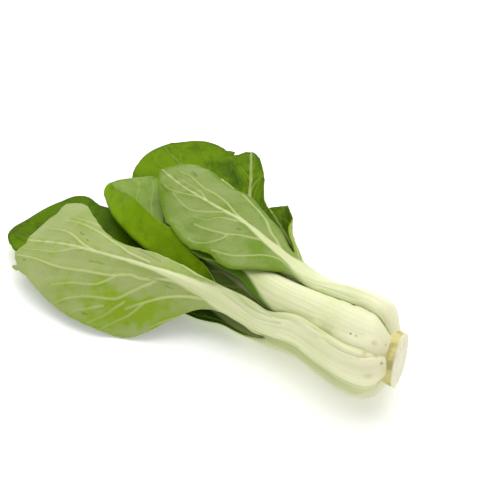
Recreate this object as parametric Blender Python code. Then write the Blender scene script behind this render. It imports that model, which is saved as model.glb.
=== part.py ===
"""A whole head of bok choy lying on its side.

The head lies along X with its cut stem towards +X, the leaf tips towards -X and the viewer's
near side towards -Y. It stands on z = 0 with its origin under the middle of its box.
Every leaf is one solid: a thick crescent stalk that thins out into a waved blade. Leaves are
laid one on another from the heart outwards, and each keeps a small gap to those inside it.
All sizes below are in millimetres and degrees; the meshes are built in metres.
"""

import math

import bpy
import numpy as np
from mathutils import Vector
from mathutils.bvhtree import BVHTree

MM = 0.001

# The head: how far its outside stands from its axis, by distance from the cut stem.
HEAD_PROFILE = ((0, 19.0), (2.5, 23.5), (7, 27.5), (14, 30.5), (26, 32.5), (42, 31.5), (62, 28.5),
                (90, 25.0), (300, 24.0))
AXIS_HEIGHT = 30.5
BASE_STATIONS = (0.0, 2.5, 7.0, 14.0, 26.0, 42.0, 60.0)  # along each leaf, up its stalk
RADIAL_UNTIL = 55.0  # stalks are packed round the axis up to here,
STACKED_FROM = 115.0  # and blades lie one on another past this

# The stem stub, a short cone that the stalks grow from, cut a little askew.
STUB_RADIUS = 17.0
STUB_RAISED = 4.5  # how far its centre stands above the axis of the stalks
STUB_BLEND = 26.0  # and how far down the head that fades out
STUB_LENGTH = 4.5
STUB_EDGE = 1.2
STUB_RINGS = ((-20.0, 2.0), (-9.0, 7.5), (-1.5, 12.5))  # (along, radius) hidden in the head
STUB_SIDES = 28
CUT_SKEW = 20.0
SKEW_ENDS = 70.0

# Every leaf.
BULGE_AT = 24.0  # where a stalk is widest, from the stem
SHOULDER_AT = 60.0
FULL_THICKNESS_AT = 12.0
BASE_THINNER = 0.6  # share of a stalk's thickness at the stem
MOST_SWEEP = 75.0  # how far half a stalk may wrap round the head
NECK_PAST = 10.0  # the neck lies this far up the blade,
OPENED_BY = 0.35  # whose own width takes over from the stalk's by this share of its length
BLADE_FROM, BLADE_FULL = -5.0, 45.0  # where waves and folds fade in, from the blade's start
RIB_HALF_WIDTH = 4.5
EDGE_THICKNESS = 1.5  # of a stalk's margin
BLADE_THICKNESS = 0.9
TIP_HALF_WIDTH = 1.6
CREASE = 0.1  # share of a half's width over which a fold turns

# The grid of a leaf, the gap kept between leaves and the search for it.
ROWS = 24
COLUMNS = 11
GAP = 0.7
RAY_ABOVE, RAY_BELOW = 70.0, 30.0
SETTLE_ROUNDS = 12
SETTLE_STEP = 40.0
SETTLED = 0.03
FLATTENED = 0.6  # how much the lowest points are pressed flat by the ground

# Colours, sRGB: pale stalks, blades dull outside and bright inside, a cream cut stem.
STALK_COLOUR = "#DCE2B0"
OUTER_BLADE_COLOUR = "#86A868"
INNER_BLADE_COLOUR = "#4C8426"
STUB_COLOUR = "#EAE3C2"
STALK_ROUGHNESS = 0.38
BLADE_ROUGHNESS = 0.45
STUB_ROUGHNESS = 0.55


class Leaf:
    """One leaf. angle: where its stalk sits round the axis, 0 on top and 90 on the near side.
    depth: how far in it lies from the outside of the head. start: how far up the stem it
    grows. path: x, y, z of its rib past the base, the way its outer side faces, as an angle
    like the first, and how far each half arches, in degrees. stalk: half widths at the base,
    at the bulge and at the neck. thick: stalk thickness at the bulge and at the neck.
    blade: (where it begins, left and right half widths), seen from outside, tip up.
    stack: +1 if its blade lies outer side up on those inside it, -1 if inner side up under
    them. wave: height and length of the margin's waves, and their phase. outline: (share of
    the blade at which it is widest, how slowly it widens), or else rows of (share of the
    blade's length, share of its half width); right_outline the same for the right half
    where it differs. fold: (side, inner share of that half, degrees turned) of a
    margin that folds over outwards."""

    def __init__(self, name, angle, depth, start, path, stalk, thick, blade, stack,
                 wave=(1.5, 42.0, 0.0), outline=(0.6, 1.0), right_outline=None, fold=None):
        self.name = name
        self.angle = angle
        self.depth = depth
        self.start = start
        self.path = path
        self.stalk = stalk
        self.thick = thick
        self.blade = blade
        self.stack = stack
        self.wave = wave
        self.outline = (outline, right_outline or outline)
        self.fold = fold


# From the heart outwards, in the order in which they are laid.
LEAVES = (
    Leaf("leaf_heart_a", 20, 17.0, 15,
         ((-90, 2, 38, 10, 40), (-120, 14, 39, 0, 34), (-150, 30, 38, -5, 25),
          (-180, 49, 36, -5, 20), (-210, 73, 34, -5, 14)),
         (4, 6, 5), (3.5, 2.2), (85, 15, 15), 1),
    Leaf("leaf_heart_b", 200, 17.0, 12,
         ((-90, 4, 27, 190, 35), (-125, 6, 27, 185, 30), (-160, 10, 27, 180, 25), (-188, 14, 27, 180, 20)),
         (5, 8, 6), (3.5, 2.2), (85, 17, 16), -1),
    Leaf("leaf_inner_far", -40, 10.0, 9,
         ((-85, 19, 42, -60, 30), (-108, 36, 41.5, -85, 22), (-128, 49, 39, -110, 16),
          (-145, 60, 37, -130, 12), (-160, 69, 35, -145, 10)),
         (7, 11, 7), (5.0, 2.4), (80, 15, 16), -1, (1.5, 30.0, 1.0),
         ((0, 0), (0.12, 0.5), (0.3, 0.95), (0.6, 1.0), (0.85, 0.78), (1, 0.1)), (0.6, 1.0)),
    Leaf("leaf_inner", -90, 10.0, 8,
         ((-85, 20, 32, -95, 30), (-120, 32, 34, -125, 25), (-150, 48, 36, -150, 15),
          (-175, 66, 38, -165, 10), (-192, 87, 38, -168, 10), (-211, 110, 38, -170, 10)),
         (7, 11, 7), (5.0, 2.4), (110, 11, 15), -1, (1.2, 34.0, 2.0), (0.6, 1.0),
         ((0, 0), (0.3, 0.45), (0.6, 0.5), (0.78, 0.6), (0.88, 0.95), (0.95, 0.85), (1, 0.3))),
    Leaf("leaf_shaded", 138, 10.0, 8,
         ((-95, -10, 20, 145, 30), (-140, -17, 19, 165, 20), (-185, -24, 18, 176, 10),
          (-230, -31, 16, 180, 8), (-270, -39, 14, 180, 6), (-303, -45, 12, 180, 5)),
         (7, 12, 8), (5.0, 2.6), (105, 54, 26), -1, (1.6, 48.0, 0.5),
         ((0, 0), (0.2, 0.45), (0.5, 0.74), (0.65, 0.84), (0.78, 0.96), (0.86, 1.0), (0.93, 0.72),
          (0.97, 0.42), (1, 0.08)), (0.72, 1.0)),
    Leaf("leaf_folded", 54, 10.0, 9,
         ((-95, -14, 42, 48, 30), (-140, -9, 40, 32, 22), (-180, -3, 38, 20, 16),
          (-220, 6, 35, 12, 12), (-272, 26, 28, 5, 6)),
         (7, 12, 8), (5.0, 2.6), (94, 35, 30), 1, (0.8, 50.0, 0.0), (0.6, 0.8),
         ((0, 0), (0.3, 0.6), (0.6, 0.95), (0.8, 1.0), (0.9, 0.98), (0.96, 0.78), (1, 0.2)),
         (-1, 0.55, 168)),
    Leaf("leaf_far", -114, 0.6, 1,
         ((-90, 26, 20, -124, 34), (-133, 42, 13, -148, 26), (-179, 60, 7.5, -168, 14),
          (-225, 79, 4, -178, 6), (-267, 98, 4, -180, 4), (-298, 109, 5, -180, 4)),
         (12, 22, 11), (8.0, 3.4), (100, 50, 50), -1, (2.2, 46.0, 1.2),
         ((0, 0), (0.1, 0.38), (0.28, 0.52), (0.45, 0.6), (0.6, 0.76), (0.7, 0.95),
          (0.78, 1.01), (0.86, 0.86), (0.93, 0.62), (1, 0.15)), (0.7, 0.9)),
    Leaf("leaf_bottom", 146, 0.4, 1,
         ((-90, -15, 6, 150, 34), (-130, -11, 2.5, 170, 14), (-175, -3, 0.5, 180, 4),
          (-220, 5, 0, 180, 3), (-256, 12, 0.5, 180, 3)),
         (12, 21, 11), (8.0, 3.4), (92, 36, 23), -1, (1.2, 40.0, 2.2)),
    Leaf("leaf_middle", 25, 1.0, 1,
         ((-84, -11, 52, 26, 38), (-112, -9, 53, 20, 30), (-145, -1, 51, 13, 25),
          (-180, 8, 47, 8, 20), (-206, 15, 43, 5, 14)),
         (12, 19, 10), (8.0, 3.4), (105, 17, 24), 1),
    Leaf("leaf_top", -32, 0.0, 0,
         ((-84, 11, 53, -22, 36), (-112, 14, 58, -8, 30), (-140, 20, 59.5, 0, 26),
          (-175, 25.5, 56, 4, 24), (-208, 32, 52, 4, 20), (-225, 37, 50, 4, 16),
          (-235, 41, 49, 4, 12)),
         (11, 16, 9), (7.5, 3.6), (86, 37, 29), 1, (1.3, 44.0, 0.8),
         ((0, 0), (0.08, 0.42), (0.17, 0.82), (0.35, 0.95), (0.57, 1.0), (0.7, 0.82),
          (0.8, 0.58), (0.92, 0.28), (1, 0.06)),
         ((0, 0), (0.17, 0.5), (0.35, 0.75), (0.5, 0.93), (0.7, 1.0), (0.85, 1.0),
          (0.94, 0.97), (0.98, 0.85), (1, 0.55))),
    Leaf("leaf_near", 72, 0.0, 0,
         ((-84, -23.5, 31.5, 76, 34), (-112, -27, 34, 63, 32), (-142, -30.5, 38, 46, 30),
          (-178, -38, 39.5, 35, 28), (-208, -43.5, 37, 28, 24), (-242, -48.5, 31.5, 20, 18),
          (-278, -53, 19.5, 10, 12)),
         (11, 13.5, 7), (8.0, 3.8), (118, 50, 46), 1, (1.6, 52.0, 2.0),
         ((0, 0), (0.17, 0.4), (0.26, 0.72), (0.36, 0.98), (0.47, 1.02), (0.65, 0.95),
          (0.83, 0.71), (0.93, 0.5), (1, 0.26)),
         ((0, 0), (0.17, 0.16), (0.36, 0.25), (0.55, 0.28), (0.65, 0.4), (0.74, 0.61),
          (0.83, 0.86), (0.92, 1.0), (1, 1.0))),
)


def profile_radius(distance):
    """Radius of the head's outside at a distance from the cut stem."""
    places, radii = zip(*HEAD_PROFILE)
    return float(np.interp(distance, places, radii))


def axis_height(distance):
    """The axis rises a little towards the stem stub."""
    return AXIS_HEIGHT + STUB_RAISED * (1 - smooth_step(distance, 0, STUB_BLEND))


def around_axis(angle):
    """Unit direction away from the axis, 0 degrees up and 90 towards the near side."""
    turn = math.radians(angle)
    return np.array((0.0, -math.sin(turn), math.cos(turn)))


def smooth_step(value, low, high):
    share = np.clip((value - low) / (high - low), 0.0, 1.0)
    return share * share * (3.0 - 2.0 * share)


def spline(knots, values, at):
    """Catmull-Rom curve through rows of values, by numpy."""
    knots, values = np.asarray(knots, float), np.asarray(values, float)
    slopes = np.gradient(values, knots, axis=0)
    index = np.clip(np.searchsorted(knots, at, side="right") - 1, 0, len(knots) - 2)
    span = (knots[index + 1] - knots[index])[:, None]
    share = ((at - knots[index]) / span[:, 0])[:, None]
    start, end = values[index], values[index + 1]
    rise, fall = slopes[index] * span, slopes[index + 1] * span
    return (
        (2 * share**3 - 3 * share**2 + 1) * start
        + (share**3 - 2 * share**2 + share) * rise
        + (3 * share**2 - 2 * share**3) * end
        + (share**3 - share**2) * fall
    )


def rib_rows(leaf):
    """Rib points from base to tip, with the way the outer side faces and the arch."""
    rows = []
    for station in BASE_STATIONS:
        distance = leaf.start + station
        thickness = np.interp(station, (0, FULL_THICKNESS_AT),
                              (leaf.thick[0] * BASE_THINNER, leaf.thick[0]))
        radius = max(profile_radius(distance) - leaf.depth - thickness / 2, 1.5)
        place = around_axis(leaf.angle) * radius
        half = np.interp(station, (0, BULGE_AT), leaf.stalk[:2])
        rows.append((-distance, place[1], place[2] + axis_height(distance), leaf.angle,
                     min(math.degrees(half / radius), MOST_SWEEP)))
    return rows + list(leaf.path)


def half_widths(leaf, lengths, side):
    """Half width along the rib, from the stalk's three widths and the blade's outline."""
    total = lengths[-1]
    begin, width = leaf.blade[0], leaf.blade[side]
    base, bulge, neck = leaf.stalk
    stalk = np.interp(lengths, (0, BULGE_AT, SHOULDER_AT, begin + NECK_PAST),
                      (base, bulge, bulge * 0.92, neck))
    stalk *= 1.0 - 0.85 * smooth_step(lengths, begin + NECK_PAST, total)
    share = np.clip((lengths - begin) / (total - begin), 0.0, 1.0)
    outline = leaf.outline[side - 1]
    if len(outline) > 2:
        places, shares_of_width = np.array(outline, float).T
        blade = width * spline(places, shares_of_width[:, None], share)[:, 0]
        opened = smooth_step(share, 0.0, OPENED_BY)
    else:
        peak, ease = outline
        opened = np.sin(math.pi / 2 * np.clip(share / peak, 0, 1) ** ease)
        falling = np.sqrt(np.clip(1 - (np.clip(share - peak, 0, 1) / (1 - peak)) ** 2, 0, 1))
        blade = width * np.where(share < peak, opened, falling)
    return np.maximum(np.hypot(stalk * (1 - 0.9 * opened), blade), TIP_HALF_WIDTH)


def section(across, width, arch, folded):
    """Places across one half of a leaf, as (sideways, outwards), by adding up short steps."""
    steps = 48
    share = (np.arange(steps) + 0.5) / steps
    turn = math.radians(arch) * share
    if folded:
        inner, degrees = folded
        turn = turn - math.radians(degrees) * smooth_step(share, inner - CREASE, inner + CREASE)
    side = np.concatenate(([0.0], np.cumsum(np.cos(turn)))) * width / steps
    out = np.concatenate(([0.0], np.cumsum(-np.sin(turn)))) * width / steps
    at = np.linspace(0.0, 1.0, steps + 1)
    return np.interp(across, at, side), np.interp(across, at, out)


def row_lengths(total, count):
    """Distances of the rows from the base, closer together at the rounded base and tip."""
    share = np.linspace(0.0, 1.0, count)
    base = 1.0 - 0.72 * (1 - smooth_step(share, 0.0, 0.30))
    tip = 1.0 - 0.80 * smooth_step(share, 0.72, 1.0)
    steps = (base * tip)[:-1]
    return np.concatenate(([0.0], np.cumsum(steps))) / steps.sum() * total


def leaf_surface(leaf):
    """Middle surface (rows, columns, 3) and half thickness of a leaf before it is laid."""
    rows = np.array(rib_rows(leaf), float)
    steps = np.linalg.norm(np.diff(rows[:, :3], axis=0), axis=1)
    knots = np.concatenate(([0.0], np.cumsum(steps)))
    lengths = row_lengths(knots[-1], ROWS)
    values = spline(knots, rows, lengths)
    points, facing, arch = values[:, :3], values[:, 3], values[:, 4]
    tangents = np.gradient(points, lengths, axis=0)
    across = np.linspace(-1.0, 1.0, COLUMNS)
    across = np.sign(across) * np.abs(across) ** 0.9
    left, right = half_widths(leaf, lengths, 1), half_widths(leaf, lengths, 2)
    surface = np.zeros((ROWS, COLUMNS, 3))
    half = np.zeros((ROWS, COLUMNS))
    begin = leaf.blade[0]
    blade_share = smooth_step(lengths, begin + BLADE_FROM, begin + BLADE_FULL)
    for i in range(ROWS):
        tangent = tangents[i] / np.linalg.norm(tangents[i])
        outwards = around_axis(facing[i])
        outwards = outwards - tangent * outwards.dot(tangent)
        outwards /= np.linalg.norm(outwards)
        sideways = np.cross(tangent, outwards)
        for sign, width in ((-1, left[i]), (1, right[i])):
            chosen = (across * sign >= 0) if sign > 0 else (across < 0)
            folded = None
            if leaf.fold and leaf.fold[0] == sign:
                folded = (leaf.fold[1], leaf.fold[2] * blade_share[i])
            side, out = section(np.abs(across[chosen]), width, arch[i], folded)
            surface[i, chosen] = (points[i] + np.outer(side * sign, sideways)
                                  + np.outer(out, outwards))
        height, wavelength, phase = leaf.wave
        ripple = height * blade_share[i] * np.abs(across) ** 2 * np.sin(
            2 * math.pi * lengths[i] / wavelength + phase + 1.3 * np.sign(across))
        end = smooth_step(lengths[-1] - lengths[i], 0, 15)
        surface[i] += np.outer(ripple * end, outwards)
        full, neck = leaf.thick
        stalk = np.interp(lengths[i], (0, FULL_THICKNESS_AT, SHOULDER_AT, begin + NECK_PAST),
                          (full * BASE_THINNER, full, full * 0.9, neck))
        rib = stalk * (1 - smooth_step(lengths[i], begin + NECK_PAST, lengths[-1]))
        crown = np.clip(1 - across**2, 0, 1) * (1 - blade_share[i])
        from_rib = across * (left[i] + right[i]) / 2
        crown += np.exp(-((from_rib / RIB_HALF_WIDTH) ** 2)) * blade_share[i]
        edge = EDGE_THICKNESS + (BLADE_THICKNESS - EDGE_THICKNESS) * blade_share[i]
        half[i] = (edge + np.clip(rib - edge, 0, None) * crown) / 2
    return surface, half


def surface_normals(surface):
    """Unit normals on the outer side of a middle surface."""
    along = np.gradient(surface, axis=0)
    across = np.gradient(surface, axis=1)
    normals = np.cross(across, along)
    return normals / np.maximum(np.linalg.norm(normals, axis=2, keepdims=True), 1e-9)


def stack_directions(leaf, surface):
    """Which way each point moves to clear the leaves inside: away from the axis in the
    stalks, straight up or down in the blades."""
    radial = surface.copy()
    radial[..., 0] = 0.0
    radial[..., 2] -= axis_height(-surface[..., 0])
    radial /= np.maximum(np.linalg.norm(radial, axis=2, keepdims=True), 1e-6)
    share = smooth_step(-surface[..., 0], RADIAL_UNTIL, STACKED_FROM)[..., None]
    mixed = radial * (1 - share) + np.array((0.0, 0.0, float(leaf.stack))) * share
    return mixed / np.maximum(np.linalg.norm(mixed, axis=2, keepdims=True), 1e-6)


def spread(amount):
    """A smooth field that is nowhere less than the amount, up to a small share."""
    padded = np.pad(amount, 1, mode="edge")
    rows, columns = amount.shape
    around = [padded[i:i + rows, j:j + columns] for i in range(3) for j in range(3)]
    widest = np.max(around, axis=0)
    padded = np.pad(widest, 1, mode="edge")
    around = [padded[i:i + rows, j:j + columns] for i in range(3) for j in range(3)]
    return np.mean(around, axis=0)


def lack_of_room(tree, points, half, directions, normals):
    """How far each point has to move to clear what lies inside it."""
    slope = np.clip(np.abs(np.sum(directions * normals, axis=-1)), 0.5, 1.0)
    lack = np.zeros(half.shape)
    for place in np.ndindex(half.shape):
        away = Vector(directions[place])
        above = Vector(points[place]) + away * RAY_ABOVE
        hit = tree.ray_cast(above, -away, RAY_ABOVE + RAY_BELOW)
        if hit[0] is not None:
            lack[place] = max(RAY_ABOVE - hit[3] + (half[place] + GAP) / slope[place], 0.0)
    return lack


def doubled(grid):
    """The grid with its midpoints added along rows and columns."""
    for axis in (0, 1):
        grid = np.swapaxes(grid, 0, axis)
        fine = np.empty((2 * len(grid) - 1,) + grid.shape[1:])
        fine[::2] = grid
        fine[1::2] = (grid[:-1] + grid[1:]) / 2
        grid = np.swapaxes(fine, 0, axis)
    return grid


def settle(leaf, surface, half, tree):
    """Moves a leaf's points outwards until its inner side clears every leaf laid before."""
    rows, columns = half.shape
    for _ in range(SETTLE_ROUNDS):
        directions, normals = stack_directions(leaf, surface), surface_normals(surface)
        fine = lack_of_room(tree, *map(doubled, (surface, half, directions, normals)))
        fine = np.pad(fine, 1, mode="edge")
        lack = np.max([fine[i:i + 2 * rows - 1:2, j:j + 2 * columns - 1:2]
                       for i in range(3) for j in range(3)], axis=0)
        if lack.max() < SETTLED:
            break
        surface = surface + directions * np.minimum(spread(lack), SETTLE_STEP)[..., None]
    return surface


def closed_faces(rows, columns):
    """Triangles of a closed sheet: outer grid, then inner grid, split the same way."""
    inner = rows * columns
    faces = []
    for i in range(rows - 1):
        for j in range(columns - 1):
            a, b = i * columns + j, i * columns + j + 1
            c, d = a + columns, b + columns
            faces += [(a, b, d), (a, d, c), (inner + a, inner + d, inner + b),
                      (inner + a, inner + c, inner + d)]
    rim = list(range(columns))
    rim += [i * columns + columns - 1 for i in range(1, rows)]
    rim += [(rows - 1) * columns + j for j in range(columns - 2, -1, -1)]
    rim += [i * columns for i in range(rows - 2, 0, -1)]
    for first, second in zip(rim, rim[1:] + rim[:1]):
        faces += [(second, first, inner + first), (second, inner + first, inner + second)]
    return faces


def leaf_solid(surface, half):
    """Vertices and triangles of the leaf's solid, in millimetres."""
    normals = surface_normals(surface)
    outer = (surface + normals * half[..., None]).reshape(-1, 3)
    inner = (surface - normals * half[..., None]).reshape(-1, 3)
    return np.concatenate((outer, inner)), closed_faces(*half.shape)


def skewed(points):
    """The base of the head pushed along X, because the stem was cut askew."""
    fade = 1 - smooth_step(-points[:, 0], 0, SKEW_ENDS)
    moved = points.copy()
    moved[:, 0] -= points[:, 1] * math.tan(math.radians(CUT_SKEW)) * fade
    return moved


def linear(colour):
    """An sRGB hex colour as linear RGBA."""
    channels = [int(colour[k:k + 2], 16) / 255 for k in (1, 3, 5)]
    return (*[c / 12.92 if c <= 0.04045 else ((c + 0.055) / 1.055) ** 2.4
              for c in channels], 1.0)


def principled(name, colour, roughness):
    material = bpy.data.materials.new(name)
    material.use_nodes = True
    shader = material.node_tree.nodes["Principled BSDF"]
    shader.inputs["Base Color"].default_value = linear(colour)
    shader.inputs["Roughness"].default_value = roughness
    shader.inputs["Metallic"].default_value = 0.0
    return material


def add_object(name, vertices, faces, materials, slots, collection):
    """A mesh object in metres; slots gives each face's place in the list of materials."""
    mesh = bpy.data.meshes.new(name)
    mesh.from_pydata([tuple(v * MM) for v in vertices], [], faces)
    for material in materials:
        mesh.materials.append(material)
    mesh.polygons.foreach_set("material_index", slots)
    mesh.shade_smooth()
    mesh.update()
    item = bpy.data.objects.new(name, mesh)
    collection.objects.link(item)
    return item


def stem_solid():
    """The short cut stem: a cone inside the stalks, with a stub that stands proud of them."""
    rings = STUB_RINGS + ((0.5, STUB_RADIUS), (STUB_LENGTH - STUB_EDGE, STUB_RADIUS),
                          (STUB_LENGTH, STUB_RADIUS - STUB_EDGE))
    turns = 2 * math.pi * np.arange(STUB_SIDES) / STUB_SIDES
    vertices = np.concatenate([
        np.stack([np.full(STUB_SIDES, along), radius * np.cos(turns),
                  radius * np.sin(turns) + axis_height(-along)], axis=1)
        for along, radius in rings])
    faces = [tuple(range(STUB_SIDES - 1, -1, -1))]
    for first in range(0, len(vertices) - STUB_SIDES, STUB_SIDES):
        for k in range(STUB_SIDES):
            after = (k + 1) % STUB_SIDES
            faces.append((first + k, first + after, first + STUB_SIDES + after,
                          first + STUB_SIDES + k))
    faces.append(tuple(range(len(vertices) - STUB_SIDES, len(vertices))))
    return vertices, faces


def tree_of(solids):
    """One search tree over every solid laid so far."""
    vertices, faces, count = [], [], 0
    for _, points, polygons in solids:
        vertices += [Vector(point) for point in points]
        faces += [tuple(index + count for index in polygon) for polygon in polygons]
        count += len(points)
    return BVHTree.FromPolygons(vertices, faces)


def rested(solids):
    """The solids skewed at the base, flattened a little where they touch the ground, and
    moved so that they stand on z = 0 round the origin."""
    solids = [(name, skewed(points), polygons) for name, points, polygons in solids]
    everything = np.concatenate([points for _, points, _ in solids])
    low, high = everything.min(axis=0), everything.max(axis=0)
    ground = low[2] + FLATTENED
    centre = np.array(((low[0] + high[0]) / 2, (low[1] + high[1]) / 2, ground))
    for name, points, _ in solids:
        if name != "stem":
            outer, inner = points[:len(points) // 2], points[len(points) // 2:]
            lift = np.clip(ground - np.minimum(outer[:, 2], inner[:, 2]), 0, None)
            outer[:, 2] += lift
            inner[:, 2] += lift
        points -= centre
    return solids


def slots_of(leaf, faces):
    """0 for each triangle of the stalk and 1 for each of the blade, by the row it is in."""
    rows = np.array(rib_rows(leaf), float)
    total = np.linalg.norm(np.diff(rows[:, :3], axis=0), axis=1).sum()
    first = np.searchsorted(row_lengths(total, ROWS), leaf.blade[0] + NECK_PAST)
    row = (np.array(faces) % (ROWS * COLUMNS)).min(axis=1) // COLUMNS
    return (row >= first).astype(int)


def build():
    for item in list(bpy.data.objects):
        bpy.data.objects.remove(item, do_unlink=True)
    collection = bpy.data.collections.new("Bok choy")
    bpy.context.scene.collection.children.link(collection)

    solids = [("stem", *stem_solid())]
    for leaf in LEAVES:
        surface, half = leaf_surface(leaf)
        surface = settle(leaf, surface, half, tree_of(solids))
        solids.append((leaf.name, *leaf_solid(surface, half)))
    solids = rested(solids)

    name, vertices, faces = solids[0]
    stub = principled("Cut stem", STUB_COLOUR, STUB_ROUGHNESS)
    add_object(name, vertices, faces, [stub], [0] * len(faces), collection)
    stalk = principled("Leaf stalk", STALK_COLOUR, STALK_ROUGHNESS)
    for leaf, (name, vertices, faces) in zip(LEAVES, solids[1:]):
        colour = OUTER_BLADE_COLOUR if leaf.stack > 0 else INNER_BLADE_COLOUR
        blade = principled(name + " blade", colour, BLADE_ROUGHNESS)
        add_object(name, vertices, faces, [stalk, blade], slots_of(leaf, faces), collection)


build()
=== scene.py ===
"""Looks of a head of bok choy that lies on its side on a white table.

Each leaf follows the same rib, widths and order of laying as its solid in the frame, on a
finer grid, with veins, puckered blades, torn margins and a skin that goes from cream stalk to
green blade. Sizes are in millimetres and degrees, and meshes are built in metres.
"""

import math
from functools import partial

import bpy
import numpy as np
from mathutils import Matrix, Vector
from mathutils.bvhtree import BVHTree


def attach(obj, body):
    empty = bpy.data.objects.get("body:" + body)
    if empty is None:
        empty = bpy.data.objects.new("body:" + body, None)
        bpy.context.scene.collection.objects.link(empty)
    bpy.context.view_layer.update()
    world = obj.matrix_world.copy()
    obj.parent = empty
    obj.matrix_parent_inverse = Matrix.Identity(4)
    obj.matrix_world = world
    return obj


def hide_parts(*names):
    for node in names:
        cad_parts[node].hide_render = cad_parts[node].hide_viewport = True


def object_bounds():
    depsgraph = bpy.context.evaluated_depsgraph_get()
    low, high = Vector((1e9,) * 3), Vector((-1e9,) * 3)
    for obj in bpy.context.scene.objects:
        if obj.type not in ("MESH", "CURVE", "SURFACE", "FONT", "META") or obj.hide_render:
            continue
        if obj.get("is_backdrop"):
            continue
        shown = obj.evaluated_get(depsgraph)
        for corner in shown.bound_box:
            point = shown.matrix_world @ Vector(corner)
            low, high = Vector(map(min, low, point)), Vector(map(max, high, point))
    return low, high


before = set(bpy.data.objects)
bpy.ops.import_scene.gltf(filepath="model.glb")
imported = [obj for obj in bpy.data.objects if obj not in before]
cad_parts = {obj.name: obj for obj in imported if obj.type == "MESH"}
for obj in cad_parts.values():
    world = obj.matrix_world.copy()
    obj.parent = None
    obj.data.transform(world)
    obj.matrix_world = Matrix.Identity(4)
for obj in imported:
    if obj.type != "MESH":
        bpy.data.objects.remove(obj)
CAD_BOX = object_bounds()

MM = 0.001

# The head: how far its outside stands from its axis, by distance from the cut stem.
HEAD_PROFILE = ((0, 19.0), (2.5, 23.5), (7, 27.5), (14, 30.5), (26, 32.5), (42, 31.5), (62, 28.5),
                (90, 25.0), (300, 24.0))
AXIS_HEIGHT = 30.5
BASE_STATIONS = (0.0, 2.5, 7.0, 14.0, 26.0, 42.0, 60.0)  # along each leaf, up its stalk
RADIAL_UNTIL = 55.0  # stalks are packed round the axis up to here,
STACKED_FROM = 115.0  # and blades lie one on another past this

# The stem stub, a short cone that the stalks grow from, cut a little askew.
STUB_RADIUS = 17.0
STUB_RAISED = 4.5  # how far its centre stands above the axis of the stalks
STUB_BLEND = 26.0  # and how far down the head that fades out
STUB_LENGTH = 4.5
STUB_EDGE = 1.2
STUB_RINGS = ((-20.0, 2.0), (-9.0, 7.5), (-1.5, 12.5))  # (along, radius) hidden in the head
STUB_SIDES = 28
CUT_SKEW = 20.0
SKEW_ENDS = 70.0

# Every leaf.
BULGE_AT = 24.0  # where a stalk is widest, from the stem
SHOULDER_AT = 60.0
FULL_THICKNESS_AT = 12.0
BASE_THINNER = 0.6  # share of a stalk's thickness at the stem
MOST_SWEEP = 75.0  # how far half a stalk may wrap round the head
NECK_PAST = 10.0  # the neck lies this far up the blade,
OPENED_BY = 0.35  # whose own width takes over from the stalk's by this share of its length
BLADE_FROM, BLADE_FULL = -5.0, 45.0  # where waves and folds fade in, from the blade's start
RIB_HALF_WIDTH = 4.5
EDGE_THICKNESS = 1.5  # of a stalk's margin
BLADE_THICKNESS = 0.9
TIP_HALF_WIDTH = 1.6
CREASE = 0.1  # share of a half's width over which a fold turns

# The grid of a leaf, the gap kept between leaves and the search for it.
ROWS = 24
COLUMNS = 11
GAP = 0.7
RAY_ABOVE, RAY_BELOW = 70.0, 30.0
SETTLE_ROUNDS = 12
SETTLE_STEP = 40.0
SETTLED = 0.03
FLATTENED = 0.6  # how much the lowest points are pressed flat by the ground

# The finer grid of the leaves shown, and how they lie on each other.
STALK_STEP = 1.6
HIDDEN_STEP = 1.8
TOUCH_GAP = 0.12
FINE_ROUNDS = 6
HUGGING_ROUNDS = 4
HUGGING_WIDTH = 10.0  # of a stalk's margin that is drawn close to the stalks inside
MOST_DRAW = 0.9
MOST_PUSH = 6.0
EVENED_ROWS = 4  # rows on both sides over which a stalk's moves are smoothed

# Where a leaf changes, in mm past the beginning of its blade.
TRIMMED = (0, 30)
VEINED = (-10, 30)
ALL_RIB = (-45, -15)
EVENED = (-20, 30)
HUGGED = (-30, 10)
STALK_SKIN = (-25, 45)

# Margins, ribs, veins and puckers.
MARGIN_TAPER = (7.0, 1.5)  # the margin is rounded off over this width, at the stem and further up,
MARGIN_HALF = (0.05, 0.2)  # to this half thickness
TAPER_UNTIL = 80.0
END_TAPER = 2.5
END_REACH = 26.0  # how far from the tip it can be pulled back
TEAR_NOISE = 0.35  # how deep every margin is nibbled
LEAST_LEFT = 0.25  # of a half's width
MOST_GROWN = 1.8  # share of its width to which a half can be let out
RIB_TAPER = ((0.0, 4.5), (0.35, 3.0), (1.0, 1.6))  # (share of the blade, half width of its ridge)
RIB_PALE = ((-0.2, 3.0), (-0.1, 2.0), (0.0, 1.15), (0.1, 0.62), (0.2, 0.42), (0.35, 0.2),
            (0.5, 0.12), (0.75, 0.08), (1.0, 0.05))  # (the same, pale half width, in necks)
RIB_FADING = ((0.3, 1.0), (0.8, 0.6))  # (the same, strength of the pale rib)
FAINT_RIB = 0.35  # a rib narrower than this fades
VEIN_CURVE = ((0.0, 0.0), (0.22, 0.2), (0.5, 0.48), (0.78, 0.74), (1.0, 0.93))  # (along, out)
VEIN_RIDGE = 0.3  # height of a vein,
VEIN_SOFT = 0.3  # and how softly it ends
PUCKER = 0.8  # how much the blade sinks in at its veins,
PUCKER_REACH = 7.0  # and how far from them
LUMPS = ((17.0, 1.0), (8.0, 0.5))  # (size, share) of the blade's lumps,
LUMP_HEIGHT = 0.45  # and their height
HALO_REACH = 2.4  # of the greener strips beside veins
BASE_CREAM = (4.0, 60.0)  # where the cream of the base fades out
FLANKS = (0.45, 1.0)  # share of a half's width
BORDER = (3.5, 0.4)  # usual width and strength of the greener margin
FAR_OFF = 60.0  # distance of a point that has no line near it
LINE_REACH = 20.0  # round a line, within which distances to it are worked out

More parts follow.
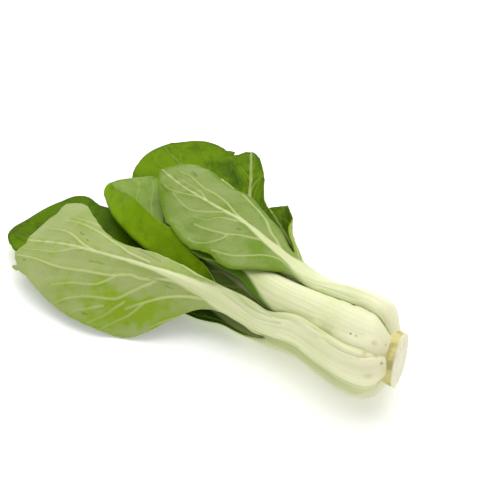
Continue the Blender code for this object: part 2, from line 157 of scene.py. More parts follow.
# The base, where the stalks lie flush with each other and end in the stub.
DRAWN_UNTIL = 18.0
STALK_PROUD = -1.6  # of the stub
BASE_SLICES = np.arange(2.0, 90.0, 4.0)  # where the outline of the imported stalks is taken,
SLICE_REACH = 3.5  # from points this far to both sides,
DIRECTIONS = np.linspace(-math.pi, math.pi, 73)[:-1]  # and the ways in which it is measured
COVERED = (-2.0, 5.0)  # how far inside an outer stalk's margin a point stops swelling
FLUSH = 1.2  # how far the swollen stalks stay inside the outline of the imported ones
FULLNESS = 0.8  # share of that room that they fill
PLUMP_UNTIL = (18.0, 72.0)  # where the swelling fades out
MOST_PLUMPED = 9.0

# The stub that shows, ring by ring: (along, radius).
STUB_SHOWN = ((-20, 2), (-10, 7.5), (-6.5, 12.5), (-5, 15.6), (-3.5, 16.7), (-2, 17.1),
              (-0.5, 17.0), (1, 16.8), (2.4, 16.6), (3.1, 16.8), (3.6, 17.2), (4.15, 17.0),
              (4.5, 16.3), (4.42, 15.4), (4.35, 12.0), (4.45, 9.5), (4.35, 5.0), (4.3, 1.0))
STUB_CORNERS = 96
STUB_LUMPS = (1.6, 0.35)  # (size, height) of the lumps of its worn collar
STUB_LOBES = (5, 0.25)  # (count, height) of its lobes, one for each outer stalk
CUT_LUMPS = (3.0, 0.18)  # (size, height) of the lumps of its cut face
BAND = (-4.5, -3.0, 2.7, 3.5)  # where the yellowed band fades in and out

# Skins, sRGB.
STALK_PALE, STALK_GREEN, STALK_CREAM = "#EEF0C4", "#D2DA98", "#F4F0CE"
# Darker green of a stalk's flanks: partly their own colour, partly painted shade on their sides.
STALK_FLANK_TONE_AND_SHADE = "#A9B86C"
SCAR_TAN, SCAR_GREEN, SCAR_BROWN = "#CFBC74", "#6F8436", "#8A7A3C"
MARK_DARK = "#5E7430"
DEEP_SHADE = "#0C1403"
CUT_CREAM, CUT_SHADE, BAND_YELLOW, BAND_OLIVE = "#F1ECD2", "#E6DFBB", "#D8CE8A", "#B6AE6C"
BACK = dict(tissue="#A6B370", deep="#8AA81C", vein="#CAD490", rib="#DCE2AE",
            roughness=0.52, gloss=0.22)
TOP_BACK = dict(BACK, tissue="#92A25E", deep="#6C8C12", vein="#BCC880", rib="#D2DAA0")
FRESH_BACK = dict(tissue="#86A044", deep="#5E8410", vein="#AFC266", rib="#BCCB7A",
                  roughness=0.45, gloss=0.15)
# Painted shade: a darker copy of the fresh back, for the middle leaf that lies under the top leaf.
MIDDLE_BACK_PAINTED_SHADE = dict(FRESH_BACK, tissue="#6C8C26", deep="#4C7208", rib="#A9BC62")
FACE = dict(tissue="#6E9002", deep="#456400", vein="#88A41E", rib="#C6D08E",
            roughness=0.45, gloss=0.05)
# Painted light: a brighter copy of the face, for the lit flap of the folded leaf.
FOLDED_FACE_PAINTED_LIGHT = dict(FACE, tissue="#7CA00A", deep="#56780A")
STALK_ROUGHNESS = 0.4

# Clouds of the leaf skins: size in mm, detail, and the range of the noise that turns smoothly
# into a share from the least to the most. Real grain is finer than 1 mm and is too fine to show
# in the render, so it is drawn this coarse.
CLOUDS = {
    "grain": (1.6, 2.0, 0.3, 0.8, -0.06, 0.10),
    "blade": (20.0, 3.0, 0.40, 0.70, 0.0, 0.30),
    "beside veins": (9.0, 2.0, 0.40, 0.62, 0.0, 0.55),
    "stalk": (28.0, 2.0, 0.45, 0.75, 0.0, 0.4),
}
NET = 4.5  # mm between the small veins,
NET_BEND = (8.0, 4.0)  # (size, amount) of their wandering
FIBRE_LENGTH, FIBRE_WIDTH = 90.0, 1.7  # of a stalk, in mm

# Scars of the stalks near the stem: (along, across, size, colour, strength).
NEAR_SPOTS = ((16, 9.5, 2.4, SCAR_TAN, 0.7), (22, 12.5, 2.0, SCAR_TAN, 0.65),
              (11, 8, 1.8, SCAR_TAN, 0.6), (19, 6, 1.3, SCAR_TAN, 0.5),
              (5, 9.5, 2.0, SCAR_TAN, 0.6), (9, 3.4, 1.5, SCAR_TAN, 0.7),
              (9.2, 3.3, 0.6, SCAR_BROWN, 0.9), (15, -1.3, 2.5, SCAR_TAN, 0.35))
MIDDLE_SPOTS = ((27, -6.6, 0.9, SCAR_GREEN, 0.95), (23.5, -6.4, 1.3, SCAR_TAN, 0.8),
                (14, -6, 2.0, SCAR_TAN, 0.5), (8, -3, 1.6, SCAR_TAN, 0.5),
                (36, 9, 0.5, SCAR_GREEN, 0.6))

# The view of the photograph, and the white table and lamps round the head.
LOOKED_AT = (-4.56, 9.88, 21.22)
CAMERA_AZIMUTH = 40.21
CAMERA_ELEVATION = 38.38
CAMERA_DISTANCE = 1190.7
CAMERA_LENS = 124.2
TABLE_SIZE = 6.0
TABLE_WHITE = "#FDFDFC"
TABLE_GLOW = 0.27
SURROUND = 0.32
LAMPS = (("ceiling softbox", (-0.25, 0.45, 1.5), 2.4, 34.0),
         ("front lamp", (0.9, -1.3, 1.3), 1.2, 4.0))  # name, place, size and power


class Leaf:
    """One leaf. angle: where its stalk sits round the axis, 0 on top and 90 on the near side.
    depth: how far in it lies from the outside of the head. start: how far up the stem it
    grows. path: x, y, z of its rib past the base, the way its outer side faces, as an angle
    like the first, and how far each half arches, in degrees. stalk: half widths at the base,
    at the bulge and at the neck. thick: stalk thickness at the bulge and at the neck.
    blade: (where it begins, left and right half widths), seen from outside, tip up.
    stack: +1 if its blade lies outer side up on those inside it, -1 if inner side up under
    them. wave: height and length of the margin's waves, and their phase. outline: (share of
    the blade at which it is widest, how slowly it widens), or else rows of (share of the
    blade's length, share of its half width); right_outline the same for the right half
    where it differs. fold: (side, inner share of that half, degrees turned) of a
    margin that folds over outwards."""

    def __init__(self, name, angle, depth, start, path, stalk, thick, blade, stack,
                 wave=(1.5, 42.0, 0.0), outline=(0.6, 1.0), right_outline=None, fold=None):
        self.name = name
        self.angle = angle
        self.depth = depth
        self.start = start
        self.path = path
        self.stalk = stalk
        self.thick = thick
        self.blade = blade
        self.stack = stack
        self.wave = wave
        self.outline = (outline, right_outline or outline)
        self.fold = fold


# From the heart outwards, in the order in which they are laid.
LEAVES = (
    Leaf("leaf_heart_a", 20, 17.0, 15,
         ((-90, 2, 38, 10, 40), (-120, 14, 39, 0, 34), (-150, 30, 38, -5, 25),
          (-180, 49, 36, -5, 20), (-210, 73, 34, -5, 14)),
         (4, 6, 5), (3.5, 2.2), (85, 15, 15), 1),
    Leaf("leaf_heart_b", 200, 17.0, 12,
         ((-90, 4, 27, 190, 35), (-125, 6, 27, 185, 30), (-160, 10, 27, 180, 25),
          (-188, 14, 27, 180, 20)),
         (5, 8, 6), (3.5, 2.2), (85, 17, 16), -1),
    Leaf("leaf_inner_far", -40, 10.0, 9,
         ((-85, 19, 42, -60, 30), (-108, 36, 41.5, -85, 22), (-128, 49, 39, -110, 16),
          (-145, 60, 37, -130, 12), (-160, 69, 35, -145, 10)),
         (7, 11, 7), (5.0, 2.4), (80, 15, 16), -1, (1.5, 30.0, 1.0),
         ((0, 0), (0.12, 0.5), (0.3, 0.95), (0.6, 1.0), (0.85, 0.78), (1, 0.1)), (0.6, 1.0)),
    Leaf("leaf_inner", -90, 10.0, 8,
         ((-85, 20, 32, -95, 30), (-120, 32, 34, -125, 25), (-150, 48, 36, -150, 15),
          (-175, 66, 38, -165, 10), (-192, 87, 38, -168, 10), (-211, 110, 38, -170, 10)),
         (7, 11, 7), (5.0, 2.4), (110, 11, 15), -1, (1.2, 34.0, 2.0), (0.6, 1.0),
         ((0, 0), (0.3, 0.45), (0.6, 0.5), (0.78, 0.6), (0.88, 0.95), (0.95, 0.85), (1, 0.3))),
    Leaf("leaf_shaded", 138, 10.0, 8,
         ((-95, -10, 20, 145, 30), (-140, -17, 19, 165, 20), (-185, -24, 18, 176, 10),
          (-230, -31, 16, 180, 8), (-270, -39, 14, 180, 6), (-303, -45, 12, 180, 5)),
         (7, 12, 8), (5.0, 2.6), (105, 54, 26), -1, (1.6, 48.0, 0.5),
         ((0, 0), (0.2, 0.45), (0.5, 0.74), (0.65, 0.84), (0.78, 0.96), (0.86, 1.0), (0.93, 0.72),
          (0.97, 0.42), (1, 0.08)), (0.72, 1.0)),
    Leaf("leaf_folded", 54, 10.0, 9,
         ((-95, -14, 42, 48, 30), (-140, -9, 40, 32, 22), (-180, -3, 38, 20, 16),
          (-220, 6, 35, 12, 12), (-272, 26, 28, 5, 6)),
         (7, 12, 8), (5.0, 2.6), (94, 35, 30), 1, (0.8, 50.0, 0.0), (0.6, 0.8),
         ((0, 0), (0.3, 0.6), (0.6, 0.95), (0.8, 1.0), (0.9, 0.98), (0.96, 0.78), (1, 0.2)),
         (-1, 0.55, 168)),
    Leaf("leaf_far", -114, 0.6, 1,
         ((-90, 26, 20, -124, 34), (-133, 42, 13, -148, 26), (-179, 60, 7.5, -168, 14),
          (-225, 79, 4, -178, 6), (-267, 98, 4, -180, 4), (-298, 109, 5, -180, 4)),
         (12, 22, 11), (8.0, 3.4), (100, 50, 50), -1, (2.2, 46.0, 1.2),
         ((0, 0), (0.1, 0.38), (0.28, 0.52), (0.45, 0.6), (0.6, 0.76), (0.7, 0.95),
          (0.78, 1.01), (0.86, 0.86), (0.93, 0.62), (1, 0.15)), (0.7, 0.9)),
    Leaf("leaf_bottom", 146, 0.4, 1,
         ((-90, -15, 6, 150, 34), (-130, -11, 2.5, 170, 14), (-175, -3, 0.5, 180, 4),
          (-220, 5, 0, 180, 3), (-256, 12, 0.5, 180, 3)),
         (12, 21, 11), (8.0, 3.4), (92, 36, 23), -1, (1.2, 40.0, 2.2)),
    Leaf("leaf_middle", 25, 1.0, 1,
         ((-84, -11, 52, 26, 38), (-112, -9, 53, 20, 30), (-145, -1, 51, 13, 25),
          (-180, 8, 47, 8, 20), (-206, 15, 43, 5, 14)),
         (12, 19, 10), (8.0, 3.4), (105, 17, 24), 1),
    Leaf("leaf_top", -32, 0.0, 0,
         ((-84, 11, 53, -22, 36), (-112, 14, 58, -8, 30), (-140, 20, 59.5, 0, 26),
          (-175, 25.5, 56, 4, 24), (-208, 32, 52, 4, 20), (-225, 37, 50, 4, 16),
          (-235, 41, 49, 4, 12)),
         (11, 16, 9), (7.5, 3.6), (86, 37, 29), 1, (1.3, 44.0, 0.8),
         ((0, 0), (0.08, 0.42), (0.17, 0.82), (0.35, 0.95), (0.57, 1.0), (0.7, 0.82),
          (0.8, 0.58), (0.92, 0.28), (1, 0.06)),
         ((0, 0), (0.17, 0.5), (0.35, 0.75), (0.5, 0.93), (0.7, 1.0), (0.85, 1.0),
          (0.94, 0.97), (0.98, 0.85), (1, 0.55))),
    Leaf("leaf_near", 72, 0.0, 0,
         ((-84, -23.5, 31.5, 76, 34), (-112, -27, 34, 63, 32), (-142, -30.5, 38, 46, 30),
          (-178, -38, 39.5, 35, 28), (-208, -43.5, 37, 28, 24), (-242, -48.5, 31.5, 20, 18),
          (-278, -53, 19.5, 10, 12)),
         (11, 13.5, 7), (8.0, 3.8), (118, 50, 46), 1, (1.6, 52.0, 2.0),
         ((0, 0), (0.17, 0.4), (0.26, 0.72), (0.36, 0.98), (0.47, 1.02), (0.65, 0.95),
          (0.83, 0.71), (0.93, 0.5), (1, 0.26)),
         ((0, 0), (0.17, 0.16), (0.36, 0.25), (0.55, 0.28), (0.65, 0.4), (0.74, 0.61),
          (0.83, 0.86), (0.92, 1.0), (1, 1.0))),
)


# What each leaf has besides its shape. seed: of its noise. step: of its fine grid. veins: the
# settings of side_veins. drawn: further veins, as points in mm (along, across) with a half
# width. strength: of all of them. rib: share of the usual width of its pale rib. green: how much
# darker its blade is, which on the bottom and middle leaves is mostly painted shade. border:
# width and strength of the greener margin. patches: (along, across, size, amount) of greener
# clouds. shades: (along, across, half length, half width, amount) where it lies deep. marks:
# dark scratches and lines, like the drawn veins. tears: (side, along, depth, half length).
# grown: by side, rows of (along, share of its width). end: how far the tip is pulled back, by
# place across.
LOOKS = {
    "leaf_heart_a": dict(seed=11, step=1.3, veins=(8, 0.0, 0.8, 0.35, 0.5), green=0.1),
    "leaf_heart_b": dict(seed=12, veins=(6, 0.0, 0.7, 0.4, 0.6)),
    "leaf_inner_far": dict(seed=13, step=1.1, veins=(7, 0.0, 0.7, 0.4, 0.25), green=0.5,
                           strength=0.8, drawn=((((88, -5), (100, -9), (120, -10), (140, -7),
                                                  (150, -3)), 0.46),)),
    "leaf_inner": dict(seed=14, step=1.0, veins=(7, 0.0, 0.75, 0.35, 0.25), green=0.35, rib=1.4,
                       strength=0.7, drawn=((((194, -1), (202, -4), (209, -9)), 0.50),
                                            (((205, 0), (214, 4), (222, 9)), 0.37))),
    "leaf_shaded": dict(seed=15, step=1.1, veins=(11, 0.0, 0.8, 0.3, 0.2), green=0.6,
                        strength=0.5, rib=0.12, patches=((281, 12, 10, -0.35),)),
    "leaf_folded": dict(seed=16, step=0.9, veins=(11, 0.0, 0.85, 0.28, 0.25), strength=0.7, rib=0.3,
                        grown={-1: ((130, 1.0), (167, 1.2), (231, 1.18), (270, 1.0))},
                        patches=((110, -12, 12, 0.3),), shades=((124, 0, 30, 12, 0.5),)),
    "leaf_far": dict(seed=17, step=1.0, veins=(13, 0.0, 0.85, 0.3, 0.2), green=0.12,
                     strength=0.8, rib=0.2, shades=((257, -30, 11, 6, 0.3),),
                     patches=((262, -34, 20, 0.6), (275, -22, 14, 0.3), (240, 10, 30, 0.2)),
                     tears=((-1, 283, 5.0, 2.6), (-1, 271, 3.0, 2.0), (-1, 291, 2.0, 2.0))),
    # Its green=0.9 is mostly painted shade: the leaf lies under the head.
    "leaf_bottom": dict(seed=18, step=1.3, veins=(9, 0.0, 0.8, 0.35, 0.6), green=0.9,
                        shades=((55, 0, 60, 60, 0.16),)),
    # Its green=0.8 is mostly painted shade from the top leaf over it.
    "leaf_middle": dict(seed=19, step=1.0, veins=(8, 0.0, 0.8, 0.35, 0.3), green=0.8,
                        border=(1.2, -0.9), rib=0.4),
    "leaf_top": dict(
        seed=20, step=0.75, border=(4.5, 0.9), green=0.2, strength=0.85, rib=0.8,
        grown={-1: ((0, 0.9), (20, 0.95), (55, 1.0))},
        drawn=((((96, 4), (110, 3), (120, 7), (129, 9), (142, 15), (154, 19), (165, 21), (176, 24)),
                0.68),
               (((140, 0), (152, 1), (162, 4), (175, 8), (186, 9), (200, 9), (219, 11),
                 (232, 9)), 0.46),
               (((98, -2), (112, -2), (122, -2), (130, -6), (138, -11), (147, -17), (161, -20),
                 (174, -21)), 0.59),
               (((144, -16), (144, -21), (148, -27), (156, -31), (168, -33)), 0.37),
               (((84, -6), (94, -8), (102, -7), (110, -11), (116, -18), (122, -24), (130, -28),
                 (141, -32)), 0.53),
               (((160, -1), (166, -2), (174, -7), (184, -12), (194, -13), (212, -9)), 0.37),
               (((150, -3), (157, -5), (164, -8), (169, -14), (180, -16)), 0.31),
               (((192, 0), (205, -5), (216, -8), (226, -8)), 0.28),
               (((186, 0), (198, 4), (212, 4), (226, 3)), 0.28)),
        patches=((122, -9, 8, 0.9), (112, -15, 8, 0.6), (100, -13, 8, 0.6), (146, 22, 9, 0.5),
                 (222, -14, 9, 0.6), (200, -24, 14, 0.35), (170, 12, 16, 0.2), (150, -35, 14, 0.5)),
        marks=((((227, 16), (223, 15.6), (218, 14.4)), 0.8), (((145, -7), (142, -6.6)), 0.5),
               (((226, -9), (221, -10), (217, -10)), 0.45))),
    "leaf_near": dict(
        seed=21, step=0.72, border=(3.0, 0.15), strength=0.85,
        drawn=((((110, 5), (126, 7), (140, 8), (150, 7), (167, 10), (183, 11)), 0.56),
               (((183, 3), (199, 5), (208, 8), (218, 11), (230, 15), (240, 17), (249, 19),
                 (264, 21)), 0.43),
               (((222, 16), (231, 20), (238, 21), (248, 22), (262, 25)), 0.31),
               (((226, 0), (236, 2), (245, 6), (256, 10), (267, 12), (277, 13)), 0.40),
               (((236, -1), (244, -3), (248, -5), (257, -8), (269, -8), (285, -8)), 0.28),
               (((134, -4), (148, -4), (157, -3), (166, -4), (183, -9), (192, -9), (201, -12),
                 (210, -14), (228, -16), (250, -18), (272, -15), (288, -14)), 0.56),
               (((196, -10), (201, -12), (208, -18), (214, -22), (221, -24), (232, -26),
                 (247, -31)), 0.40),
               (((172, -6), (180, -13), (188, -20), (194, -25), (200, -28), (218, -32), (231, -37),
                 (240, -42)), 0.43),
               (((176, -23), (184, -34), (194, -42), (204, -51)), 0.28),
               (((190, -27), (196, -33), (201, -39), (212, -49)), 0.28),
               (((204, -34), (215, -40), (220, -42), (226, -47)), 0.25),
               (((118, -4), (129, -2.5), (147, -8), (163, -15), (176, -23), (188, -31)), 0.56),
               (((124, -7), (140, -17), (156, -28), (168, -38)), 0.31)),
        patches=((190, -33, 16, 0.9), (168, -28, 13, 0.7), (214, -27, 13, 0.5), (150, -22, 10, 0.5),
                 (236, -33, 10, 0.3), (150, 12, 10, 0.3), (206, -47, 10, 0.4), (256, -28, 9, -0.3)),
        marks=((((245, 11.5), (243, 10.5), (241, 10.6)), 0.3), (((237, 7), (235, 6.4)), 0.3),
               (((216, -43), (213, -43)), 0.3), (((279, -17), (277, -17)), 0.3),
               (((178, -7), (171, -6), (164, -5)), 0.2), (((194, 9.6), (186, 8), (176, 6)), 0.2),
               (((226, -8), (220, -7), (214, -7)), 0.2), (((166, -7.5), (160, -8)), 0.2),
               (((70, -5), (95, -5), (118, -6.5), (136, -10)), 0.1),
               (((60, -8), (85, -8.5), (108, -9), (124, -12)), 0.12),
               (((80, -2), (104, -2.2), (130, -2.8), (150, -3)), 0.08),
               (((75, 3), (100, 3), (125, 4.4)), 0.1),
               (((85, 5.5), (105, 6), (122, 7.5)), 0.12)),
        grown={-1: ((0, 1.5), (20, 1.8), (60, 1.8), (85, 1.6), (105, 1.3), (130, 1.0), (271, 1.0),
                    (280, 1.15), (285, 1.5), (288, 1.7)),
               1: ((0, 0.85), (25, 0.8), (60, 0.8), (85, 0.85), (110, 1.0))},
        end=((-24, 2), (-20.5, 1), (-18.5, 5), (-16, 1), (-13, -2), (-8, 0), (-3, 2.5), (4, 0),
             (16, 0), (25, 1), (31, 4), (36, 3), (40, 1))),
}


def profile_radius(distance):
    """Radius of the head's outside at a distance from the cut stem."""
    places, radii = zip(*HEAD_PROFILE)
    return float(np.interp(distance, places, radii))


def axis_height(distance):
    """The axis rises a little towards the stem stub."""
    return AXIS_HEIGHT + STUB_RAISED * (1 - smooth_step(distance, 0, STUB_BLEND))


def around_axis(angle):
    """Unit direction away from the axis, 0 degrees up and 90 towards the near side."""
    turn = math.radians(angle)
    return np.array((0.0, -math.sin(turn), math.cos(turn)))


def past(lengths, leaf, span):
    """Share from 0 to 1 over a span that is given from the beginning of the blade."""
    return smooth_step(lengths, leaf.blade[0] + span[0], leaf.blade[0] + span[1])


def let_out(leaf, lengths, side):
    """Share of its width to which a half of a leaf is let out."""
    rows = LOOKS[leaf.name].get("grown", {}).get(side, ((0, 1.0),))
    return np.interp(lengths, *zip(*rows))


def smooth_step(value, low, high):
    """Share from 0 to 1 that starts and ends softly."""
    share = np.clip((value - low) / (high - low), 0.0, 1.0)
    return share * share * (3.0 - 2.0 * share)


def spline(knots, values, at):
    """Catmull-Rom curve through rows of values, by numpy."""
    knots, values = np.asarray(knots, float), np.asarray(values, float)
    slopes = np.gradient(values, knots, axis=0)
    index = np.clip(np.searchsorted(knots, at, side="right") - 1, 0, len(knots) - 2)
    span = (knots[index + 1] - knots[index])[:, None]
    share = ((at - knots[index]) / span[:, 0])[:, None]
    start, end = values[index], values[index + 1]
    rise, fall = slopes[index] * span, slopes[index + 1] * span
    return (
        (2 * share**3 - 3 * share**2 + 1) * start
        + (share**3 - 2 * share**2 + share) * rise
        + (3 * share**2 - 2 * share**3) * end
        + (share**3 - share**2) * fall
    )


def rib_rows(leaf):
    """Rib points from base to tip, with the way the outer side faces and the arch."""
    rows = []
    for station in BASE_STATIONS:
        distance = leaf.start + station
        thickness = np.interp(station, (0, FULL_THICKNESS_AT),
                              (leaf.thick[0] * BASE_THINNER, leaf.thick[0]))
        radius = max(profile_radius(distance) - leaf.depth - thickness / 2, 1.5)
        place = around_axis(leaf.angle) * radius
        half = np.interp(station, (0, BULGE_AT), leaf.stalk[:2])
        rows.append((-distance, place[1], place[2] + axis_height(distance), leaf.angle,
                     min(math.degrees(half / radius), MOST_SWEEP)))
    return rows + list(leaf.path)


def half_widths(leaf, lengths, side):
    """Half width along the rib, from the stalk's three widths and the blade's outline."""
    total = lengths[-1]
    begin, width = leaf.blade[0], leaf.blade[side]
    base, bulge, neck = leaf.stalk
    stalk = np.interp(lengths, (0, BULGE_AT, SHOULDER_AT, begin + NECK_PAST),
                      (base, bulge, bulge * 0.92, neck))
    stalk *= 1.0 - 0.85 * smooth_step(lengths, begin + NECK_PAST, total)
    share = np.clip((lengths - begin) / (total - begin), 0.0, 1.0)
    outline = leaf.outline[side - 1]
    if len(outline) > 2:
        places, shares_of_width = np.array(outline, float).T
        blade = width * spline(places, shares_of_width[:, None], share)[:, 0]
        opened = smooth_step(share, 0.0, OPENED_BY)
    else:
        peak, ease = outline
        opened = np.sin(math.pi / 2 * np.clip(share / peak, 0, 1) ** ease)
        falling = np.sqrt(np.clip(1 - (np.clip(share - peak, 0, 1) / (1 - peak)) ** 2, 0, 1))
        blade = width * np.where(share < peak, opened, falling)
    return np.maximum(np.hypot(stalk * (1 - 0.9 * opened), blade), TIP_HALF_WIDTH)


def section(across, width, arch, folded):
    """Places across one half of a leaf, as (sideways, outwards), by adding up short steps."""
    steps = 48  # in the half's own width
    share = (np.arange(int(MOST_GROWN * steps)) + 0.5) / steps
    turn = math.radians(arch) * share
    if folded:
        inner, degrees = folded
        turn = turn - math.radians(degrees) * smooth_step(share, inner - CREASE, inner + CREASE)
    side = np.concatenate(([0.0], np.cumsum(np.cos(turn)))) * width / steps
    out = np.concatenate(([0.0], np.cumsum(-np.sin(turn)))) * width / steps
    at = np.arange(len(side)) / steps
    return np.interp(across, at, side), np.interp(across, at, out)


def row_lengths(total, count):
    """Distances of the rows from the base, closer together at the rounded base and tip."""
    share = np.linspace(0.0, 1.0, count)
    base = 1.0 - 0.72 * (1 - smooth_step(share, 0.0, 0.30))
    tip = 1.0 - 0.80 * smooth_step(share, 0.72, 1.0)
    steps = (base * tip)[:-1]
    return np.concatenate(([0.0], np.cumsum(steps))) / steps.sum() * total


def rib_knots(leaf):
    """Distances along the rib of the rows that rib_rows gives, and those rows."""
    rows = np.array(rib_rows(leaf), float)
    steps = np.linalg.norm(np.diff(rows[:, :3], axis=0), axis=1)
    return np.concatenate(([0.0], np.cumsum(steps))), rows


def leaf_surface(leaf, lengths, grid, rib_half_width=RIB_HALF_WIDTH):
    """Middle surface (rows, columns, 3) and half thickness of a leaf before it is laid, at
    these distances along it and, row by row, these shares of its half widths."""
    knots, rows = rib_knots(leaf)
    values = spline(knots, rows, lengths)
    points, facing, arch = values[:, :3], values[:, 3], values[:, 4]
    tangents = np.gradient(points, lengths, axis=0)
    left, right = half_widths(leaf, lengths, 1), half_widths(leaf, lengths, 2)
    surface = np.zeros(grid.shape + (3,))
    half = np.zeros(grid.shape)
    rib_half_width = np.broadcast_to(rib_half_width, lengths.shape)
    begin = leaf.blade[0]
    blade_share = smooth_step(lengths, begin + BLADE_FROM, begin + BLADE_FULL)
    for i, across in enumerate(grid):
        tangent = tangents[i] / np.linalg.norm(tangents[i])
        outwards = around_axis(facing[i])
        outwards = outwards - tangent * outwards.dot(tangent)
        outwards /= np.linalg.norm(outwards)
        sideways = np.cross(tangent, outwards)
        for sign, width in ((-1, left[i]), (1, right[i])):
            chosen = (across * sign >= 0) if sign > 0 else (across < 0)
            folded = None
            if leaf.fold and leaf.fold[0] == sign:
                folded = (leaf.fold[1], leaf.fold[2] * blade_share[i])
            side, out = section(np.abs(across[chosen]), width, arch[i], folded)
            surface[i, chosen] = (points[i] + np.outer(side * sign, sideways)
                                  + np.outer(out, outwards))
        height, wavelength, phase = leaf.wave
        ripple = height * blade_share[i] * np.abs(across) ** 2 * np.sin(
            2 * math.pi * lengths[i] / wavelength + phase + 1.3 * np.sign(across))
        end = smooth_step(lengths[-1] - lengths[i], 0, 15)
        surface[i] += np.outer(ripple * end, outwards)
        full, neck = leaf.thick
        stalk = np.interp(lengths[i], (0, FULL_THICKNESS_AT, SHOULDER_AT, begin + NECK_PAST),
                          (full * BASE_THINNER, full, full * 0.9, neck))
        rib = stalk * (1 - smooth_step(lengths[i], begin + NECK_PAST, lengths[-1]))
        crown = np.clip(1 - across**2, 0, 1) * (1 - blade_share[i])
        from_rib = across * (left[i] + right[i]) / 2
        crown += np.exp(-((from_rib / rib_half_width[i]) ** 2)) * blade_share[i]
        edge = EDGE_THICKNESS + (BLADE_THICKNESS - EDGE_THICKNESS) * blade_share[i]
        half[i] = (edge + np.clip(rib - edge, 0, None) * crown) / 2
    return surface, half


def surface_normals(surface):
    """Unit normals on the outer side of a middle surface."""
    along = np.gradient(surface, axis=0)
    across = np.gradient(surface, axis=1)
    normals = np.cross(across, along)
    return normals / np.maximum(np.linalg.norm(normals, axis=2, keepdims=True), 1e-9)


def stack_directions(leaf, surface):
    """Which way each point moves to clear the leaves inside: away from the axis in the
    stalks, straight up or down in the blades."""
    radial = surface.copy()
    radial[..., 0] = 0.0
    radial[..., 2] -= axis_height(-surface[..., 0])
    radial /= np.maximum(np.linalg.norm(radial, axis=2, keepdims=True), 1e-6)
    share = smooth_step(-surface[..., 0], RADIAL_UNTIL, STACKED_FROM)[..., None]
    mixed = radial * (1 - share) + np.array((0.0, 0.0, float(leaf.stack))) * share
    return mixed / np.maximum(np.linalg.norm(mixed, axis=2, keepdims=True), 1e-6)


def neighbours(values):
    """Every point's own value and those of the eight round it, as nine fields."""
    padded = np.pad(values, 1, mode="edge")
    rows, columns = values.shape
    return [padded[i:i + rows, j:j + columns] for i in range(3) for j in range(3)]


def spread(amount):
    """A smooth field that is nowhere less than the amount, up to a small share."""
    return np.mean(neighbours(np.max(neighbours(amount), axis=0)), axis=0)


def lack_of_room(tree, points, half, directions, normals, gap):
    """How far each point has to move to clear what lies inside it by the gap, negative where
    there is room to spare."""
    slope = np.clip(np.abs(np.sum(directions * normals, axis=-1)), 0.5, 1.0)
    lack = np.zeros(half.shape)
    for place in np.ndindex(half.shape):
        away = Vector(directions[place])
        above = Vector(points[place]) + away * RAY_ABOVE
        hit = tree.ray_cast(above, -away, RAY_ABOVE + RAY_BELOW)
        if hit[0] is not None:
            lack[place] = RAY_ABOVE - hit[3] + (half[place] + gap) / slope[place]
    return lack


def doubled(grid):
    """The grid with its midpoints added along rows and columns."""
    for axis in (0, 1):
        grid = np.swapaxes(grid, 0, axis)
        fine = np.empty((2 * len(grid) - 1,) + grid.shape[1:])
        fine[::2] = grid
        fine[1::2] = (grid[:-1] + grid[1:]) / 2
        grid = np.swapaxes(fine, 0, axis)
    return grid


def settle(leaf, surface, half, tree):
    """Moves a leaf's points outwards until its inner side clears every leaf laid before."""
    rows, columns = half.shape
    for _ in range(SETTLE_ROUNDS):
        directions, normals = stack_directions(leaf, surface), surface_normals(surface)
        fine = lack_of_room(tree, *map(doubled, (surface, half, directions, normals)), GAP)
        fine = np.pad(np.maximum(fine, 0), 1, mode="edge")
        lack = np.max([fine[i:i + 2 * rows - 1:2, j:j + 2 * columns - 1:2]
                       for i in range(3) for j in range(3)], axis=0)
        if lack.max() < SETTLED:
            break
        surface = surface + directions * np.minimum(spread(lack), SETTLE_STEP)[..., None]
    return surface


def closed_faces(rows, columns):
    """Triangles of a closed sheet: outer grid, then inner grid, split the same way."""
    inner = rows * columns
    faces = []
    for i in range(rows - 1):
        for j in range(columns - 1):
            a, b = i * columns + j, i * columns + j + 1
            c, d = a + columns, b + columns
            faces += [(a, b, d), (a, d, c), (inner + a, inner + d, inner + b),
                      (inner + a, inner + c, inner + d)]
    rim = list(range(columns))
    rim += [i * columns + columns - 1 for i in range(1, rows)]
    rim += [(rows - 1) * columns + j for j in range(columns - 2, -1, -1)]
    rim += [i * columns for i in range(rows - 2, 0, -1)]
    for first, second in zip(rim, rim[1:] + rim[:1]):
        faces += [(second, first, inner + first), (second, inner + first, inner + second)]
    return faces


def leaf_solid(surface, half):
    """Vertices and triangles of the leaf's solid, in millimetres."""
    normals = surface_normals(surface)
    outer = (surface + normals * half[..., None]).reshape(-1, 3)
    inner = (surface - normals * half[..., None]).reshape(-1, 3)
    return np.concatenate((outer, inner)), closed_faces(*half.shape)


def skewed(points):
    """The base of the head pushed along X, because the stem was cut askew."""
    fade = 1 - smooth_step(-points[:, 0], 0, SKEW_ENDS)
    moved = points.copy()
    moved[:, 0] -= points[:, 1] * math.tan(math.radians(CUT_SKEW)) * fade
    return moved


def stem_solid():
    """The short cut stem: a cone inside the stalks, with a stub that stands proud of them."""
    rings = STUB_RINGS + ((0.5, STUB_RADIUS), (STUB_LENGTH - STUB_EDGE, STUB_RADIUS),
                          (STUB_LENGTH, STUB_RADIUS - STUB_EDGE))
    turns = 2 * math.pi * np.arange(STUB_SIDES) / STUB_SIDES
    vertices = np.concatenate([
        np.stack([np.full(STUB_SIDES, along), radius * np.cos(turns),
                  radius * np.sin(turns) + axis_height(-along)], axis=1)
        for along, radius in rings])
    faces = [tuple(range(STUB_SIDES - 1, -1, -1))]
    for first in range(0, len(vertices) - STUB_SIDES, STUB_SIDES):
        for k in range(STUB_SIDES):
            after = (k + 1) % STUB_SIDES
            faces.append((first + k, first + after, first + STUB_SIDES + after,
                          first + STUB_SIDES + k))
    faces.append(tuple(range(len(vertices) - STUB_SIDES, len(vertices))))
    return vertices, faces


